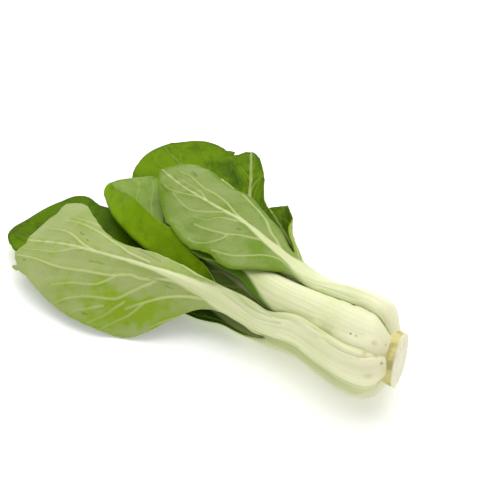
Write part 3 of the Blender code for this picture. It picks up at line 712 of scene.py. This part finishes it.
def tree_of(solids):
    """One search tree over every solid laid so far."""
    vertices, faces, count = [], [], 0
    for _, points, polygons in solids:
        vertices += [Vector(point) for point in points]
        faces += [tuple(index + count for index in polygon) for polygon in polygons]
        count += len(points)
    return BVHTree.FromPolygons(vertices, faces)


def smooth_noise(x, y, size, seed):
    """Value noise from -1 to 1 whose lumps are about this size."""
    numbers = np.random.default_rng(seed).uniform(-1, 1, (64, 64))
    x, y = np.asarray(x) / size, np.asarray(y) / size
    i, j = np.floor(x).astype(int), np.floor(y).astype(int)
    u, v = x - i, y - j
    u, v = u * u * (3 - 2 * u), v * v * (3 - 2 * v)
    near = numbers[i % 64, j % 64] * (1 - u) + numbers[(i + 1) % 64, j % 64] * u
    far = numbers[i % 64, (j + 1) % 64] * (1 - u) + numbers[(i + 1) % 64, (j + 1) % 64] * u
    return near * (1 - v) + far * v


def side_veins(leaf, total, count, first, last, lean, width, seed):
    """Veins that leave the rib in turn on both sides and curve towards the tip, with their
    branches, as (points in mm along and across, half width)."""
    draw = np.random.default_rng(seed)
    begin = leaf.blade[0]
    places = np.linspace(0, total, 200)
    reach = {-1: half_widths(leaf, places, 1), 1: half_widths(leaf, places, 2)}
    veins = []

    def add(shares, side, half_width):
        along = np.clip([begin + place * (total - begin) for place, _ in shares], 0, total)
        out = np.interp(along, places, reach[side]) * [side * share for _, share in shares]
        veins.append((np.stack([along, out], axis=1), half_width))

    for k in range(count):
        start = first + (last - first) * k / (count - 1) + draw.uniform(-0.015, 0.015)
        side = 1 if k % 2 else -1
        bend = lean * draw.uniform(0.85, 1.15)
        shares = [(start + bend * along, out) for along, out in VEIN_CURVE]
        thickness = width * (1.3 - 0.6 * k / count)
        add(shares, side, thickness)
        for split, turn in ((1, -0.55), (2, 0.5)):
            along, out = shares[split]
            add([(along, out), (along + bend * (0.22 - 0.08 * turn), out + 0.14 * (1 - turn)),
                 (along + bend * (0.42 - 0.2 * turn), out + 0.22 * (1 - 1.3 * turn))],
                side, 0.6 * thickness)
    return veins


def line_fields(lines, along, across, fading=0.6):
    """Share of each point that is covered by thin lines, and its distance to them in mm."""
    cover = np.zeros(along.shape)
    nearest = np.full(along.shape, FAR_OFF)
    spot = np.stack([along, across], axis=-1)
    for points, width in lines:
        points = np.array(points, float)
        at = np.linspace(0, len(points) - 1, 6 * len(points))
        curve = spline(np.arange(len(points)), points, at)
        close = np.all((spot > curve.min(axis=0) - LINE_REACH)
                       & (spot < curve.max(axis=0) + LINE_REACH), axis=-1)
        here = spot[close]
        best, wide = np.full(len(here), FAR_OFF), np.ones(len(here))
        for a, b, share in zip(curve[:-1], curve[1:], at / at[-1]):
            step = b - a
            on = np.clip(((here - a) @ step) / max(step @ step, 1e-9), 0, 1)
            distance = np.linalg.norm(here - a - on[:, None] * step, axis=1)
            closer = distance < best
            best[closer], wide[closer] = distance[closer], width * (1 - fading * share)
        strength = np.exp(-(best / (wide + VEIN_SOFT)) ** 2) * np.clip(wide / VEIN_SOFT, 0, 1)
        cover[close] = np.maximum(cover[close], strength)
        nearest[close] = np.minimum(nearest[close], best)
    return cover, nearest


def margin_trim(leaf, look, lengths, widths, side):
    """Share of a half width in each row, where the margin is nibbled, torn or let out."""
    noise = smooth_noise(lengths, side * 7.0, 3.1, look["seed"])
    lost = TEAR_NOISE * past(lengths, leaf, TRIMMED) * (1 + noise)
    for tear_side, place, depth, half_length in look.get("tears", ()):
        if tear_side == side:
            lost += depth * np.clip(1 - np.abs(lengths - place) / half_length, 0, 1) ** 0.8
    return np.clip(let_out(leaf, lengths, side) - lost / widths, LEAST_LEFT, MOST_GROWN)[:, None]


def fine_lengths(leaf, step):
    """Distances along the rib of the fine rows, which are closer together on the blade."""
    total, begin = rib_knots(leaf)[0][-1], leaf.blade[0]
    rows = [0.0]
    while rows[-1] < total:
        rows.append(rows[-1] + np.interp(rows[-1], (begin * 0.6, begin), (STALK_STEP, step)))
    rows = np.array(rows)
    return rows * total / rows[-1]


def rib_lengths(leaf):
    """Distances along the rib of the coarse rows."""
    return row_lengths(rib_knots(leaf)[0][-1], ROWS)


def coarse_across():
    """Shares of the half widths at which the coarse columns stand."""
    across = np.linspace(-1.0, 1.0, COLUMNS)
    return np.sign(across) * np.abs(across) ** 0.9


def finer(move, lengths, grid):
    """The moves that laid the coarse leaf, as a smooth field on the finer grid."""
    rows = row_lengths(lengths[-1], ROWS)
    long = spline(rows, move.reshape(ROWS, -1), lengths).reshape(-1, COLUMNS, 3)
    return np.stack([spline(coarse_across(), row, np.clip(at, -1, 1))
                     for row, at in zip(long, grid)])


def evened(move, leaf):
    """The moves of a stalk smoothed along it, so that it runs straight."""
    padded = np.pad(move, ((EVENED_ROWS, EVENED_ROWS), (0, 0), (0, 0)), mode="edge")
    count = 2 * EVENED_ROWS + 1
    smooth = sum(padded[i:i + len(move)] for i in range(count)) / count
    share = 1 - past(rib_lengths(leaf), leaf, EVENED)
    return move + (smooth - move) * share[:, None, None]


def pulled_back(values, lengths, pull):
    """A field of a leaf with its tip pulled back, column by column."""
    fade = smooth_step(lengths, lengths[-1] - END_REACH, lengths[-1])
    flat = values.reshape(len(lengths), values.shape[1], -1)
    moved = np.empty_like(flat)
    for j, depth in enumerate(pull):
        at = lengths - depth * fade
        slope = (flat[-1, j] - flat[-4, j]) / (lengths[-1] - lengths[-4])
        for k in range(flat.shape[2]):
            moved[:, j, k] = (np.interp(at, lengths, flat[:, j, k])
                              + slope[k] * np.maximum(at - lengths[-1], 0))
    return moved.reshape(values.shape)


def polar(points):
    """Angle of points round the head's axis, and their distance from it."""
    up = points[..., 2] - axis_height(-points[..., 0])
    return np.arctan2(up, points[..., 1]), np.hypot(points[..., 1], up)


def turned(angle):
    """The same angle, from -pi to pi."""
    return (angle + np.pi) % (2 * np.pi) - np.pi


def packed_reach(points):
    """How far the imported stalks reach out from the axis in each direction, slice by slice."""
    angle, radius = polar(points)
    reach = []
    for place in BASE_SLICES:
        near = np.abs(points[:, 0] + place) < SLICE_REACH
        reach.append((radius[near, None] * np.cos(angle[near, None] - DIRECTIONS)).max(axis=0))
    return np.array(reach)


def stalk_span(leaf, surface):
    """The angles that a stalk covers: its distances along, crown and two margins."""
    angle = polar(surface)[0]
    crown = angle[:, COLUMNS // 2]
    margins = [turned(angle[:, column] - crown) * let_out(leaf, rib_lengths(leaf), side)
               for column, side in ((0, -1), (-1, 1))]
    return (np.maximum.accumulate(-surface[:, COLUMNS // 2, 0]), np.unwrap(crown),
            np.sort(margins, axis=0))


def plumped(surface, half, along, reach, outer):
    """The stalks swollen at the base until they lie flush with each other, where no outer
    stalk covers them."""
    angle, radius = polar(surface)
    place = -surface[..., 0]
    limit = np.full(angle.shape, np.inf)
    for direction, column in zip(DIRECTIONS, reach.T):
        facing = np.cos(angle - direction)
        away = np.interp(place, BASE_SLICES, column) / np.maximum(facing, 0.1)
        limit = np.minimum(limit, np.where(facing > 0.1, away, np.inf))
    bare = np.ones(angle.shape)
    for distances, crown, (low, high) in outer:
        aside = turned(angle - np.interp(place, distances, crown))
        inside = np.minimum(aside - np.interp(place, distances, low),
                            np.interp(place, distances, high) - aside)
        bare *= 1 - smooth_step(inside * radius, *COVERED)
    share = FULLNESS * (1 - smooth_step(along, *PLUMP_UNTIL)) * bare
    swollen = np.clip(limit - FLUSH - half - radius, 0, MOST_PLUMPED) * share
    away = surface.copy()
    away[..., 0] = 0.0
    away[..., 2] -= axis_height(place)
    return surface + away * (swollen / np.maximum(radius, 1.0))[..., None]


def fine_leaf(leaf, look, coarse_move, tree, packed, outer):
    """The leaf's fine middle surface, half thickness, places in mm and skin fields."""
    step, seed = look.get("step", HIDDEN_STEP), look["seed"]
    lengths = fine_lengths(leaf, step)
    total, begin = lengths[-1], leaf.blade[0]
    left, right = half_widths(leaf, lengths, 1), half_widths(leaf, lengths, 2)
    trim = [margin_trim(leaf, look, lengths, width, side)
            for width, side in ((left, -1), (right, 1))]
    counts = [int(math.ceil(width.max() / step)) for width in (left, right)]
    grid = np.concatenate([-np.linspace(1, 0, counts[0] + 1)[None, :-1] * trim[0],
                           np.linspace(0, 1, counts[1] + 1)[None, :] * trim[1]], axis=1)
    share = (lengths - begin) / (total - begin)
    surface, half = leaf_surface(leaf, lengths, grid, np.interp(share, *zip(*RIB_TAPER)))
    surface = surface + finer(evened(coarse_move, leaf), lengths, grid)

    reach = np.where(grid < 0, left[:, None], right[:, None])
    along = np.broadcast_to(lengths[:, None], grid.shape)
    across = grid * reach
    end = total - along
    if "end" in look:
        pull = np.interp(across[-1], *zip(*look["end"]))
        surface, half, along, across, end = (
            pulled_back(values, lengths, pull) for values in (surface, half, along, across, end))
        end = end - pull
    edge = np.where(grid < 0, trim[0], trim[1]) * reach - np.abs(grid * reach)

    # Veins, and the pale rib that narrows from the whole stalk to a thread at the tip.
    veins = list(look.get("drawn", ()))
    if "veins" in look:
        veins += side_veins(leaf, total, *look["veins"], seed)
    white, nearest = line_fields(veins, along, across)
    blade = past(along, leaf, VEINED)
    on_rib = np.interp(share, *zip(*RIB_PALE))[:, None] * leaf.stalk[2] * look.get("rib", 1.0)
    soft = 0.3 + 0.3 * on_rib
    wavy = np.abs(across) + 0.3 * smooth_noise(along, across, 4.0, seed + 3)
    rib = 1 - smooth_step(wavy, on_rib - soft / 2, on_rib + soft)
    rib *= np.clip(on_rib / FAINT_RIB, 0, 1) * np.interp(share, *zip(*RIB_FADING))[:, None]
    rib = np.maximum(rib, 1 - past(along, leaf, ALL_RIB))
    nearest = np.minimum(nearest, np.maximum(np.abs(across) - on_rib, 0))

    lump = sum(part * smooth_noise(along, across, size, seed + number)
               for number, (size, part) in enumerate(LUMPS, 1))
    pucker = PUCKER * (np.exp(-((nearest / PUCKER_REACH) ** 2)) - 0.6) + LUMP_HEIGHT * lump
    raised = VEIN_RIDGE * white * (1 - rib) * blade
    surface = surface + surface_normals(surface) * (blade * pucker + raised)[..., None]
    half = half + raised
    taper, thin = (np.interp(along, (0, TAPER_UNTIL), pair) for pair in (MARGIN_TAPER, MARGIN_HALF))
    depth = np.minimum(np.minimum(edge / taper, end / END_TAPER + 0.02), along / END_TAPER + 0.1)
    rounded = np.sqrt(np.clip(1 - (1 - np.clip(depth, 0, 1)) ** 2, 0, 1))
    half = np.maximum(half * rounded, thin)
    hugging = (1 - smooth_step(edge, 1.0, HUGGING_WIDTH)) * (1 - past(along, leaf, HUGGED))
    surface = plumped(surface, half, along, packed, outer)
    surface = drawn_in(settle_finely(leaf, surface, half, tree, hugging), half, along)

    border_width, border_strength = look.get("border", BORDER)
    tint = np.full(grid.shape, look.get("green", 0.0))
    ragged = 1 + 0.35 * smooth_noise(along, across, 5.0, seed + 4)
    for place, out, size, amount in look.get("patches", ()):
        away = np.hypot(along - place, 1.3 * (across - out)) * ragged
        tint += amount * np.exp(-((away / size) ** 2))
    tint += border_strength * (1 - smooth_step(np.minimum(edge, end), 0.0, border_width)) * blade
    shade = np.zeros(grid.shape)
    for place, out, long, wide, amount in look.get("shades", ()):
        away = ((along - place) / long) ** 2 + ((across - out) / wide) ** 2
        shade += amount * np.exp(-away**2)
    fields = {
        "vein": white * blade * look.get("strength", 1.0),
        "rib": rib,
        "stalk": 1 - past(along, leaf, STALK_SKIN),
        "halo": np.exp(-((nearest / HALO_REACH) ** 2)) * blade * (1 - white),
        "tint": tint,
        "base": 1 - smooth_step(along, *BASE_CREAM),
        "flank": smooth_step(np.abs(grid), *FLANKS),
        "mark": line_fields(look.get("marks", ()), along, across, 0.3)[0],
        "shade": np.minimum(shade, 1.0),
    }
    return surface, half, along, across, fields


def settle_finely(leaf, surface, half, tree, hugging):
    """Pushes what the veins and puckers still sink into the leaves inside back out, and draws
    the margins of the stalk in to where they touch, as far as hugging says."""
    for turn in range(FINE_ROUNDS):
        directions, normals = stack_directions(leaf, surface), surface_normals(surface)
        lack = lack_of_room(tree, surface, half, directions, normals, TOUCH_GAP)
        push = np.minimum(blurred(spread(spread(spread(np.maximum(lack, 0))))), MOST_PUSH)
        draw = blurred(blurred(np.clip(-lack, 0, MOST_DRAW) * hugging)) * (turn < HUGGING_ROUNDS)
        surface = surface + directions * (push - draw)[..., None]
    return surface


def blurred(values):
    """A field smoothed over the points round each one."""
    for _ in range(4):
        values = sum(neighbours(values)) / 9
    return values


def drawn_in(surface, half, along):
    """The ends of the stalks drawn in towards the stub that they grow from."""
    share = (1 - smooth_step(along, 0.0, DRAWN_UNTIL))[..., None]
    axis = surface.copy()
    axis[..., 1] = 0.0
    axis[..., 2] = axis_height(-surface[..., 0])
    away = surface - axis
    radius = np.linalg.norm(away, axis=2, keepdims=True)
    wanted = np.minimum(radius, STUB_RADIUS + STALK_PROUD - half[..., None])
    return axis + away * (1 + (wanted / np.maximum(radius, 1e-6) - 1) * share)


def thinned(surface, half):
    """A solid with every other row and column, for the search tree."""
    rows, columns = (sorted(set(range(0, count, 2)) | {count - 1}) for count in half.shape)
    return leaf_solid(surface[np.ix_(rows, columns)], half[np.ix_(rows, columns)])


def linear(colour):
    """An sRGB hex colour as linear RGBA."""
    channels = [int(colour[k:k + 2], 16) / 255 for k in (1, 3, 5)]
    return (*[c / 12.92 if c <= 0.04045 else ((c + 0.055) / 1.055) ** 2.4
              for c in channels], 1.0)


def add_node(tree, kind, inputs, output=0, **settings):
    """Adds a node and gives one of its outputs. inputs gives sockets their values, their hex
    colours or the sockets they are fed from."""
    made = tree.nodes.new("ShaderNode" + kind)
    for name, value in settings.items():
        setattr(made, name, value)
    for socket, value in inputs.items():
        if isinstance(value, bpy.types.NodeSocket):
            tree.links.new(value, made.inputs[socket])
        else:
            made.inputs[socket].default_value = linear(value) if isinstance(value, str) else value
    return made.outputs[output]


def new_skin(name):
    """A new material, its node tree and its shader."""
    material = bpy.data.materials.new(name)
    material.use_nodes = True
    return material, material.node_tree, material.node_tree.nodes["Principled BSDF"]


def leaf_skin(name, tissue, deep, vein, rib, roughness, gloss, spots=()):
    """Living leaf skin: wax over watery tissue, which looks dull on the back of a leaf and
    satin on its face. The stalk end is cream with fine lengthwise fibres, and the blade is
    green with a net of small veins. spots: (along, across, size, colour, strength) in mm."""
    material, tree, shader = new_skin(name)
    add = partial(add_node, tree)
    place = add("UVMap", {}, uv_map="leaf")
    field = {key: add("Attribute", {}, "Fac", attribute_name=key)
             for key in ("vein", "rib", "stalk", "halo", "tint", "base", "flank", "mark", "shade")}
    noise, cloudy = {}, {}
    for what, (size, detail, low, high, least, most) in CLOUDS.items():
        noise[what] = add("TexNoise", {"Vector": place, "Scale": 1 / (size * MM), "Detail": detail})
        cloudy[what] = add("MapRange", {0: noise[what], 1: low, 2: high, 3: least, 4: most},
                           interpolation_type="SMOOTHSTEP")

    # Blade: cloudy green, greener by its veins, with a net of small veins.
    amount = add("Math", {0: field["halo"], 1: cloudy["beside veins"], 2: field["tint"]},
                 operation="MULTIPLY_ADD")
    amount = add("Math", {0: amount, 1: cloudy["blade"]}, operation="ADD")
    amount = add("Math", {0: amount, 1: cloudy["grain"]}, operation="ADD", use_clamp=True)
    size, far = NET_BEND
    bent = add("TexNoise", {"Vector": place, "Scale": 1 / (size * MM)}, "Color")
    bent = add("VectorMath", {0: bent, 1: (far * MM, far * MM, 0.0), 2: place},
               operation="MULTIPLY_ADD")
    net = add("TexVoronoi", {"Vector": bent, "Scale": 1 / (NET * MM)}, "Distance",
              feature="DISTANCE_TO_EDGE")
    threads = add("MapRange", {0: net, 1: 0.0, 2: 0.10, 3: 1.0, 4: 0.0},
                  interpolation_type="SMOOTHSTEP")
    faded = {what: add("Math", {0: value, 1: share}, operation="MULTIPLY")
             for what, value, share in (("threads", threads, 0.05), ("mark", field["mark"], 0.8),
                                        ("flank", field["flank"], 0.55),
                                        ("fibres", field["stalk"], 0.8))}

    # Stalk: cream at the stem with a painted highlight of cream along its crest, greener flanks
    # that are partly painted shade, and fibres along it.
    fibres = add("Mapping", {"Vector": place,
                             "Scale": (1 / (FIBRE_LENGTH * MM), 1 / (FIBRE_WIDTH * MM), 1.0)})
    streak = add("TexNoise", {"Vector": fibres, "Scale": 1.0, "Detail": 3.0})
    streaks = add("MapRange", {0: streak, 1: 0.36, 2: 0.74, 3: 0.0, 4: 0.7},
                  interpolation_type="SMOOTHSTEP")
    # Painted highlight: the cream at the stem is strongest along the stalk's crest and weaker at
    # its flanks.
    cream_and_crest_highlight = add("MapRange", {0: field["flank"], 1: 0.0, 2: 1.0, 3: 0.7, 4: 0.25},
                 interpolation_type="SMOOTHSTEP")
    cream_and_crest_highlight = add("Math", {0: field["base"], 1: cream_and_crest_highlight}, operation="MULTIPLY")
    stalk = STALK_PALE
    for share, over in ((streaks, STALK_GREEN), (cloudy["stalk"], STALK_GREEN),
                        (faded["flank"], STALK_FLANK_TONE_AND_SHADE), (cream_and_crest_highlight, STALK_CREAM)):
        stalk = add("Mix", {0: share, 6: stalk, 7: over}, 2, data_type="RGBA")
    stalk = add("Mix", {0: field["stalk"], 6: rib, 7: stalk}, 2, data_type="RGBA")

    layers = [(amount, deep), (faded["threads"], vein), (field["vein"], vein),
              (field["rib"], stalk), (faded["mark"], MARK_DARK)]
    for along, across, size, tone, strength in spots:
        away = add("VectorMath", {0: place, 1: (along * MM, across * MM, 0.0)}, "Value",
                   operation="DISTANCE")
        away = add("Math", {0: noise["grain"], 1: size * 0.9 * MM, 2: away},
                   operation="MULTIPLY_ADD")
        spot = add("MapRange", {0: away, 1: size * 0.6 * MM, 2: size * 1.5 * MM,
                                3: strength, 4: 0.0}, interpolation_type="SMOOTHSTEP")
        layers.append((spot, tone))
    colour = tissue
    for share, over in layers + [(field["shade"], DEEP_SHADE)]:
        colour = add("Mix", {0: share, 6: colour, 7: over}, 2, data_type="RGBA")
    tree.links.new(colour, shader.inputs["Base Color"])
    rough = add("MapRange", {0: field["stalk"], 3: roughness, 4: STALK_ROUGHNESS})
    tree.links.new(rough, shader.inputs["Roughness"])
    shader.inputs["Specular IOR Level"].default_value = gloss
    shader.inputs["Subsurface Weight"].default_value = 0.08
    shader.inputs["Subsurface Radius"].default_value = (0.9, 1.0, 0.35)
    shader.inputs["Subsurface Scale"].default_value = 2.0 * MM
    relief = 0.0
    for value, height in ((threads, 0.5), (noise["grain"], 0.6), (streak, faded["fibres"])):
        relief = add("Math", {0: value, 1: height, 2: relief}, operation="MULTIPLY_ADD")
    bump = add("Bump", {"Strength": 0.5, "Distance": 0.25 * MM, "Height": relief})
    tree.links.new(bump, shader.inputs["Normal"])
    return material


def cut_stem_skin():
    """Freshly cut stem flesh: matt, watery cream, yellowed where old leaves came off."""
    material, tree, shader = new_skin("freshly cut stem")
    add = partial(add_node, tree)
    place = add("TexCoord", {}, "Object")
    field = {key: add("Attribute", {}, "Fac", attribute_name=key) for key in ("band", "ring")}
    clouds = add("TexNoise", {"Vector": place, "Scale": 1 / (6 * MM), "Detail": 4.0})
    shaded, olive = (add("MapRange", {0: clouds, 1: low, 2: high, 3: 0.0, 4: 1.0},
                         interpolation_type="SMOOTHSTEP")
                     for low, high in ((0.35, 0.7), (0.4, 0.65)))
    ring = add("Math", {0: field["ring"], 1: 0.3}, operation="MULTIPLY")
    band = add("Mix", {0: olive, 6: BAND_YELLOW, 7: BAND_OLIVE}, 2, data_type="RGBA")
    colour = CUT_CREAM
    for share, over in ((shaded, CUT_SHADE), (field["band"], band), (ring, BAND_YELLOW)):
        colour = add("Mix", {0: share, 6: colour, 7: over}, 2, data_type="RGBA")
    tree.links.new(colour, shader.inputs["Base Color"])
    shader.inputs["Roughness"].default_value = 0.5
    shader.inputs["Specular IOR Level"].default_value = 0.3
    shader.inputs["Subsurface Weight"].default_value = 0.1
    shader.inputs["Subsurface Radius"].default_value = (1.0, 0.95, 0.5)
    shader.inputs["Subsurface Scale"].default_value = 2.0 * MM
    pores = add("TexNoise", {"Vector": place, "Scale": 1 / (1.2 * MM), "Detail": 3.0})
    bump = add("Bump", {"Strength": 0.5, "Distance": 0.3 * MM, "Height": pores})
    tree.links.new(bump, shader.inputs["Normal"])
    return material


def set_values(mesh, fields):
    """Keeps fields of numbers on a mesh's points, for its material."""
    for name, values in fields.items():
        kept = mesh.attributes.new(name, "FLOAT", "POINT").data
        kept.foreach_set("value", values.astype(np.float32))


def add_leaf(leaf, surface, half, along, across, fields, skins):
    """A grid primitive shaped to the leaf's middle surface and thickened both ways."""
    rows, columns = half.shape
    bpy.ops.object.select_all(action="DESELECT")
    bpy.ops.mesh.primitive_grid_add(x_subdivisions=columns - 1, y_subdivisions=rows - 1, size=2.0)
    piece = bpy.context.object
    piece.name = piece.data.name = leaf.name + "_blade"
    mesh = piece.data
    flat = np.empty(len(mesh.vertices) * 3, np.float32)
    mesh.vertices.foreach_get("co", flat)
    flat = flat.reshape(-1, 3)
    column = np.round((flat[:, 0] + 1) / 2 * (columns - 1)).astype(int)
    row = np.round((flat[:, 1] + 1) / 2 * (rows - 1)).astype(int)
    mesh.vertices.foreach_set("co", (surface[row, column] * MM).astype(np.float32).ravel())
    set_values(mesh, {name: values[row, column] for name, values in fields.items()})
    corner = np.empty(len(mesh.loops), np.int32)
    mesh.loops.foreach_get("vertex_index", corner)
    sheet = np.stack([along[row, column], across[row, column]], axis=1) * MM
    mesh.uv_layers[0].name = "leaf"
    mesh.uv_layers["leaf"].data.foreach_set("uv", sheet[corner].astype(np.float32).ravel())
    thickest = half.max()
    group = piece.vertex_groups.new(name="thickness")
    for index, weight in enumerate((half / thickest)[row, column]):
        group.add([index], float(weight), "REPLACE")
    for skin in skins:
        mesh.materials.append(skin)
    solidify = piece.modifiers.new("Leaf thickness", "SOLIDIFY")
    solidify.thickness = 2 * thickest * MM
    solidify.offset = 0.0
    solidify.vertex_group = "thickness"
    solidify.material_offset = 1
    bpy.ops.object.modifier_apply(modifier=solidify.name)
    bpy.ops.object.shade_smooth()
    piece.vertex_groups.clear()
    return piece


def add_stem(centre):
    """The cut stem, drawn out ring by ring from a circle, with a worn, yellowed collar."""
    rings = STUB_SHOWN
    bpy.ops.object.select_all(action="DESELECT")
    bpy.ops.mesh.primitive_circle_add(vertices=STUB_CORNERS, radius=rings[0][1] * MM,
                                      fill_type="NGON", rotation=(0.0, math.pi / 2, 0.0))
    piece = bpy.context.object
    bpy.ops.object.transform_apply(location=True, rotation=True, scale=True)
    piece.name = piece.data.name = "stem_cut"
    bpy.ops.object.mode_set(mode="EDIT")
    bpy.ops.mesh.select_all(action="SELECT")
    for (before, narrow), (after, wide) in zip(rings, rings[1:]):
        bpy.ops.mesh.extrude_region_move(
            TRANSFORM_OT_translate={"value": ((after - before) * MM, 0, 0)})
        bpy.ops.transform.resize(value=(1, wide / narrow, wide / narrow))
    bpy.ops.object.mode_set(mode="OBJECT")
    mesh = piece.data
    points = np.empty(len(mesh.vertices) * 3)
    mesh.vertices.foreach_get("co", points)
    points = points.reshape(-1, 3) / MM
    points[:, 0] += rings[0][0]

    around = np.arctan2(points[:, 2], points[:, 1])
    radius = np.hypot(points[:, 1], points[:, 2])
    worn = STUB_LUMPS[1] * smooth_noise(around * 6 + 40, points[:, 0] + 40, STUB_LUMPS[0], 5)
    worn += STUB_LOBES[1] * np.sin(STUB_LOBES[0] * around + 0.6)
    worn *= smooth_step(points[:, 0], -4.0, 1.0) / np.maximum(radius, 4.0)
    points[:, 1:] *= (1 + worn)[:, None]
    on_cut = points[:, 0] > STUB_LENGTH - 0.5
    points[:, 0] += on_cut * CUT_LUMPS[1] * smooth_noise(points[:, 1] + 40, points[:, 2] + 40,
                                                         CUT_LUMPS[0], 8)
    fields = {
        "band": smooth_step(points[:, 0], *BAND[:2]) * (1 - smooth_step(points[:, 0], *BAND[2:])),
        "ring": np.exp(-(((radius - STUB_RADIUS * 0.62) / 0.8) ** 2)) * on_cut,
    }
    points[:, 2] += axis_height(-points[:, 0])
    mesh.vertices.foreach_set("co", ((skewed(points) - centre) * MM).astype(np.float32).ravel())
    set_values(mesh, fields)
    mesh.materials.append(cut_stem_skin())
    bpy.ops.object.shade_smooth_by_angle(angle=math.radians(50))
    return piece


def lay_coarse():
    """How far each leaf of the CAD was moved when it was laid, the angles that its stalk
    covers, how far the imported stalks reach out, and the head's centre."""
    solids, moves, spans = [("stem", *stem_solid())], [], []
    for leaf in LEAVES:
        lengths = rib_lengths(leaf)
        surface, half = leaf_surface(leaf, lengths, np.tile(coarse_across(), (ROWS, 1)))
        settled = settle(leaf, surface, half, tree_of(solids))
        solids.append((leaf.name, *leaf_solid(settled, half)))
        moves.append(settled - surface)
        spans.append(stalk_span(leaf, settled))
    reach = packed_reach(np.concatenate([points for _, points, _ in solids[1:]]))
    everything = np.concatenate([skewed(points) for _, points, _ in solids])
    low, high = everything.min(axis=0), everything.max(axis=0)
    centre = np.array(((low[0] + high[0]) / 2, (low[1] + high[1]) / 2, low[2] + FLATTENED))
    return moves, spans, reach, centre


def build_head():
    """Every leaf from the heart outwards, and the cut stem, in place of their nodes."""
    moves, spans, reach, centre = lay_coarse()
    back, face = leaf_skin("waxy leaf back", **BACK), leaf_skin("satin leaf face", **FACE)
    skins = {
        "leaf_near": (leaf_skin("waxy back of the near leaf", **BACK, spots=NEAR_SPOTS), face),
        "leaf_top": (leaf_skin("waxy back of the top leaf", **TOP_BACK), face),
        "leaf_middle": (leaf_skin("fresh back of the middle leaf", **MIDDLE_BACK_PAINTED_SHADE,
                                  spots=MIDDLE_SPOTS), face),
        "leaf_folded": (leaf_skin("fresh leaf back", **FRESH_BACK),
                        leaf_skin("bright face of the folded leaf", **FOLDED_FACE_PAINTED_LIGHT)),
    }
    laid = [("stem", *stem_solid())]
    for number, (leaf, move) in enumerate(zip(LEAVES, moves), 1):
        surface, half, along, across, fields = fine_leaf(leaf, LOOKS[leaf.name], move,
                                                         tree_of(laid), reach, spans[number:])
        laid.append((leaf.name, *thinned(surface, half)))
        world = skewed(surface.reshape(-1, 3)).reshape(surface.shape) - centre
        world[..., 2] = np.maximum(world[..., 2], half + 0.02)
        piece = add_leaf(leaf, world, half, along, across, fields,
                         skins.get(leaf.name, (back, face)))
        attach(piece, "root")
        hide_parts(leaf.name)
    stem = add_stem(centre)
    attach(stem, "root")
    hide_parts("stem")


def set_stage():
    """A white table and soft white light from above, as in a product picture."""
    bpy.ops.object.select_all(action="DESELECT")
    bpy.ops.mesh.primitive_plane_add(size=TABLE_SIZE)
    table = bpy.context.object
    table.name = "white_table"
    # Matt painted board: no shine at all, and a little glow that keeps it white.
    material, _, shader = new_skin("white matt board")
    shader.inputs["Base Color"].default_value = linear(TABLE_WHITE)
    shader.inputs["Roughness"].default_value = 0.9
    shader.inputs["Specular IOR Level"].default_value = 0.0
    shader.inputs["Emission Color"].default_value = linear(TABLE_WHITE)
    shader.inputs["Emission Strength"].default_value = TABLE_GLOW
    table.data.materials.append(material)
    table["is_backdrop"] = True
    world = bpy.data.worlds.new("soft white surround")
    world.use_nodes = True
    world.node_tree.nodes["Background"].inputs["Color"].default_value = (1, 1, 1, 1)
    world.node_tree.nodes["Background"].inputs["Strength"].default_value = SURROUND
    bpy.context.scene.world = world
    for name, place, size, power in LAMPS:
        data = bpy.data.lights.new(name, "AREA")
        data.size, data.energy = size, power
        lamp = bpy.data.objects.new(name, data)
        lamp.location = place
        lamp.rotation_euler = (-Vector(place)).to_track_quat("-Z", "Y").to_euler()
        bpy.context.scene.collection.objects.link(lamp)


def set_camera():
    """A camera at the photograph's viewing angle."""
    turn, rise = math.radians(CAMERA_AZIMUTH), math.radians(CAMERA_ELEVATION)
    back = Vector((math.sin(turn) * math.cos(rise), -math.cos(turn) * math.cos(rise),
                   math.sin(rise)))
    data = bpy.data.cameras.new("photo view")
    data.lens, data.sensor_width = CAMERA_LENS, 36.0
    camera = bpy.data.objects.new("photo view", data)
    camera.location = (Vector(LOOKED_AT) + back * CAMERA_DISTANCE) * MM
    camera.rotation_euler = back.to_track_quat("Z", "Y").to_euler()
    bpy.context.scene.collection.objects.link(camera)
    bpy.context.scene.camera = camera
    bpy.context.scene.view_settings.view_transform = "Standard"


set_camera()
set_stage()
build_head()
[[list(map(float, corner)) for corner in box] for box in (CAD_BOX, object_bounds())]
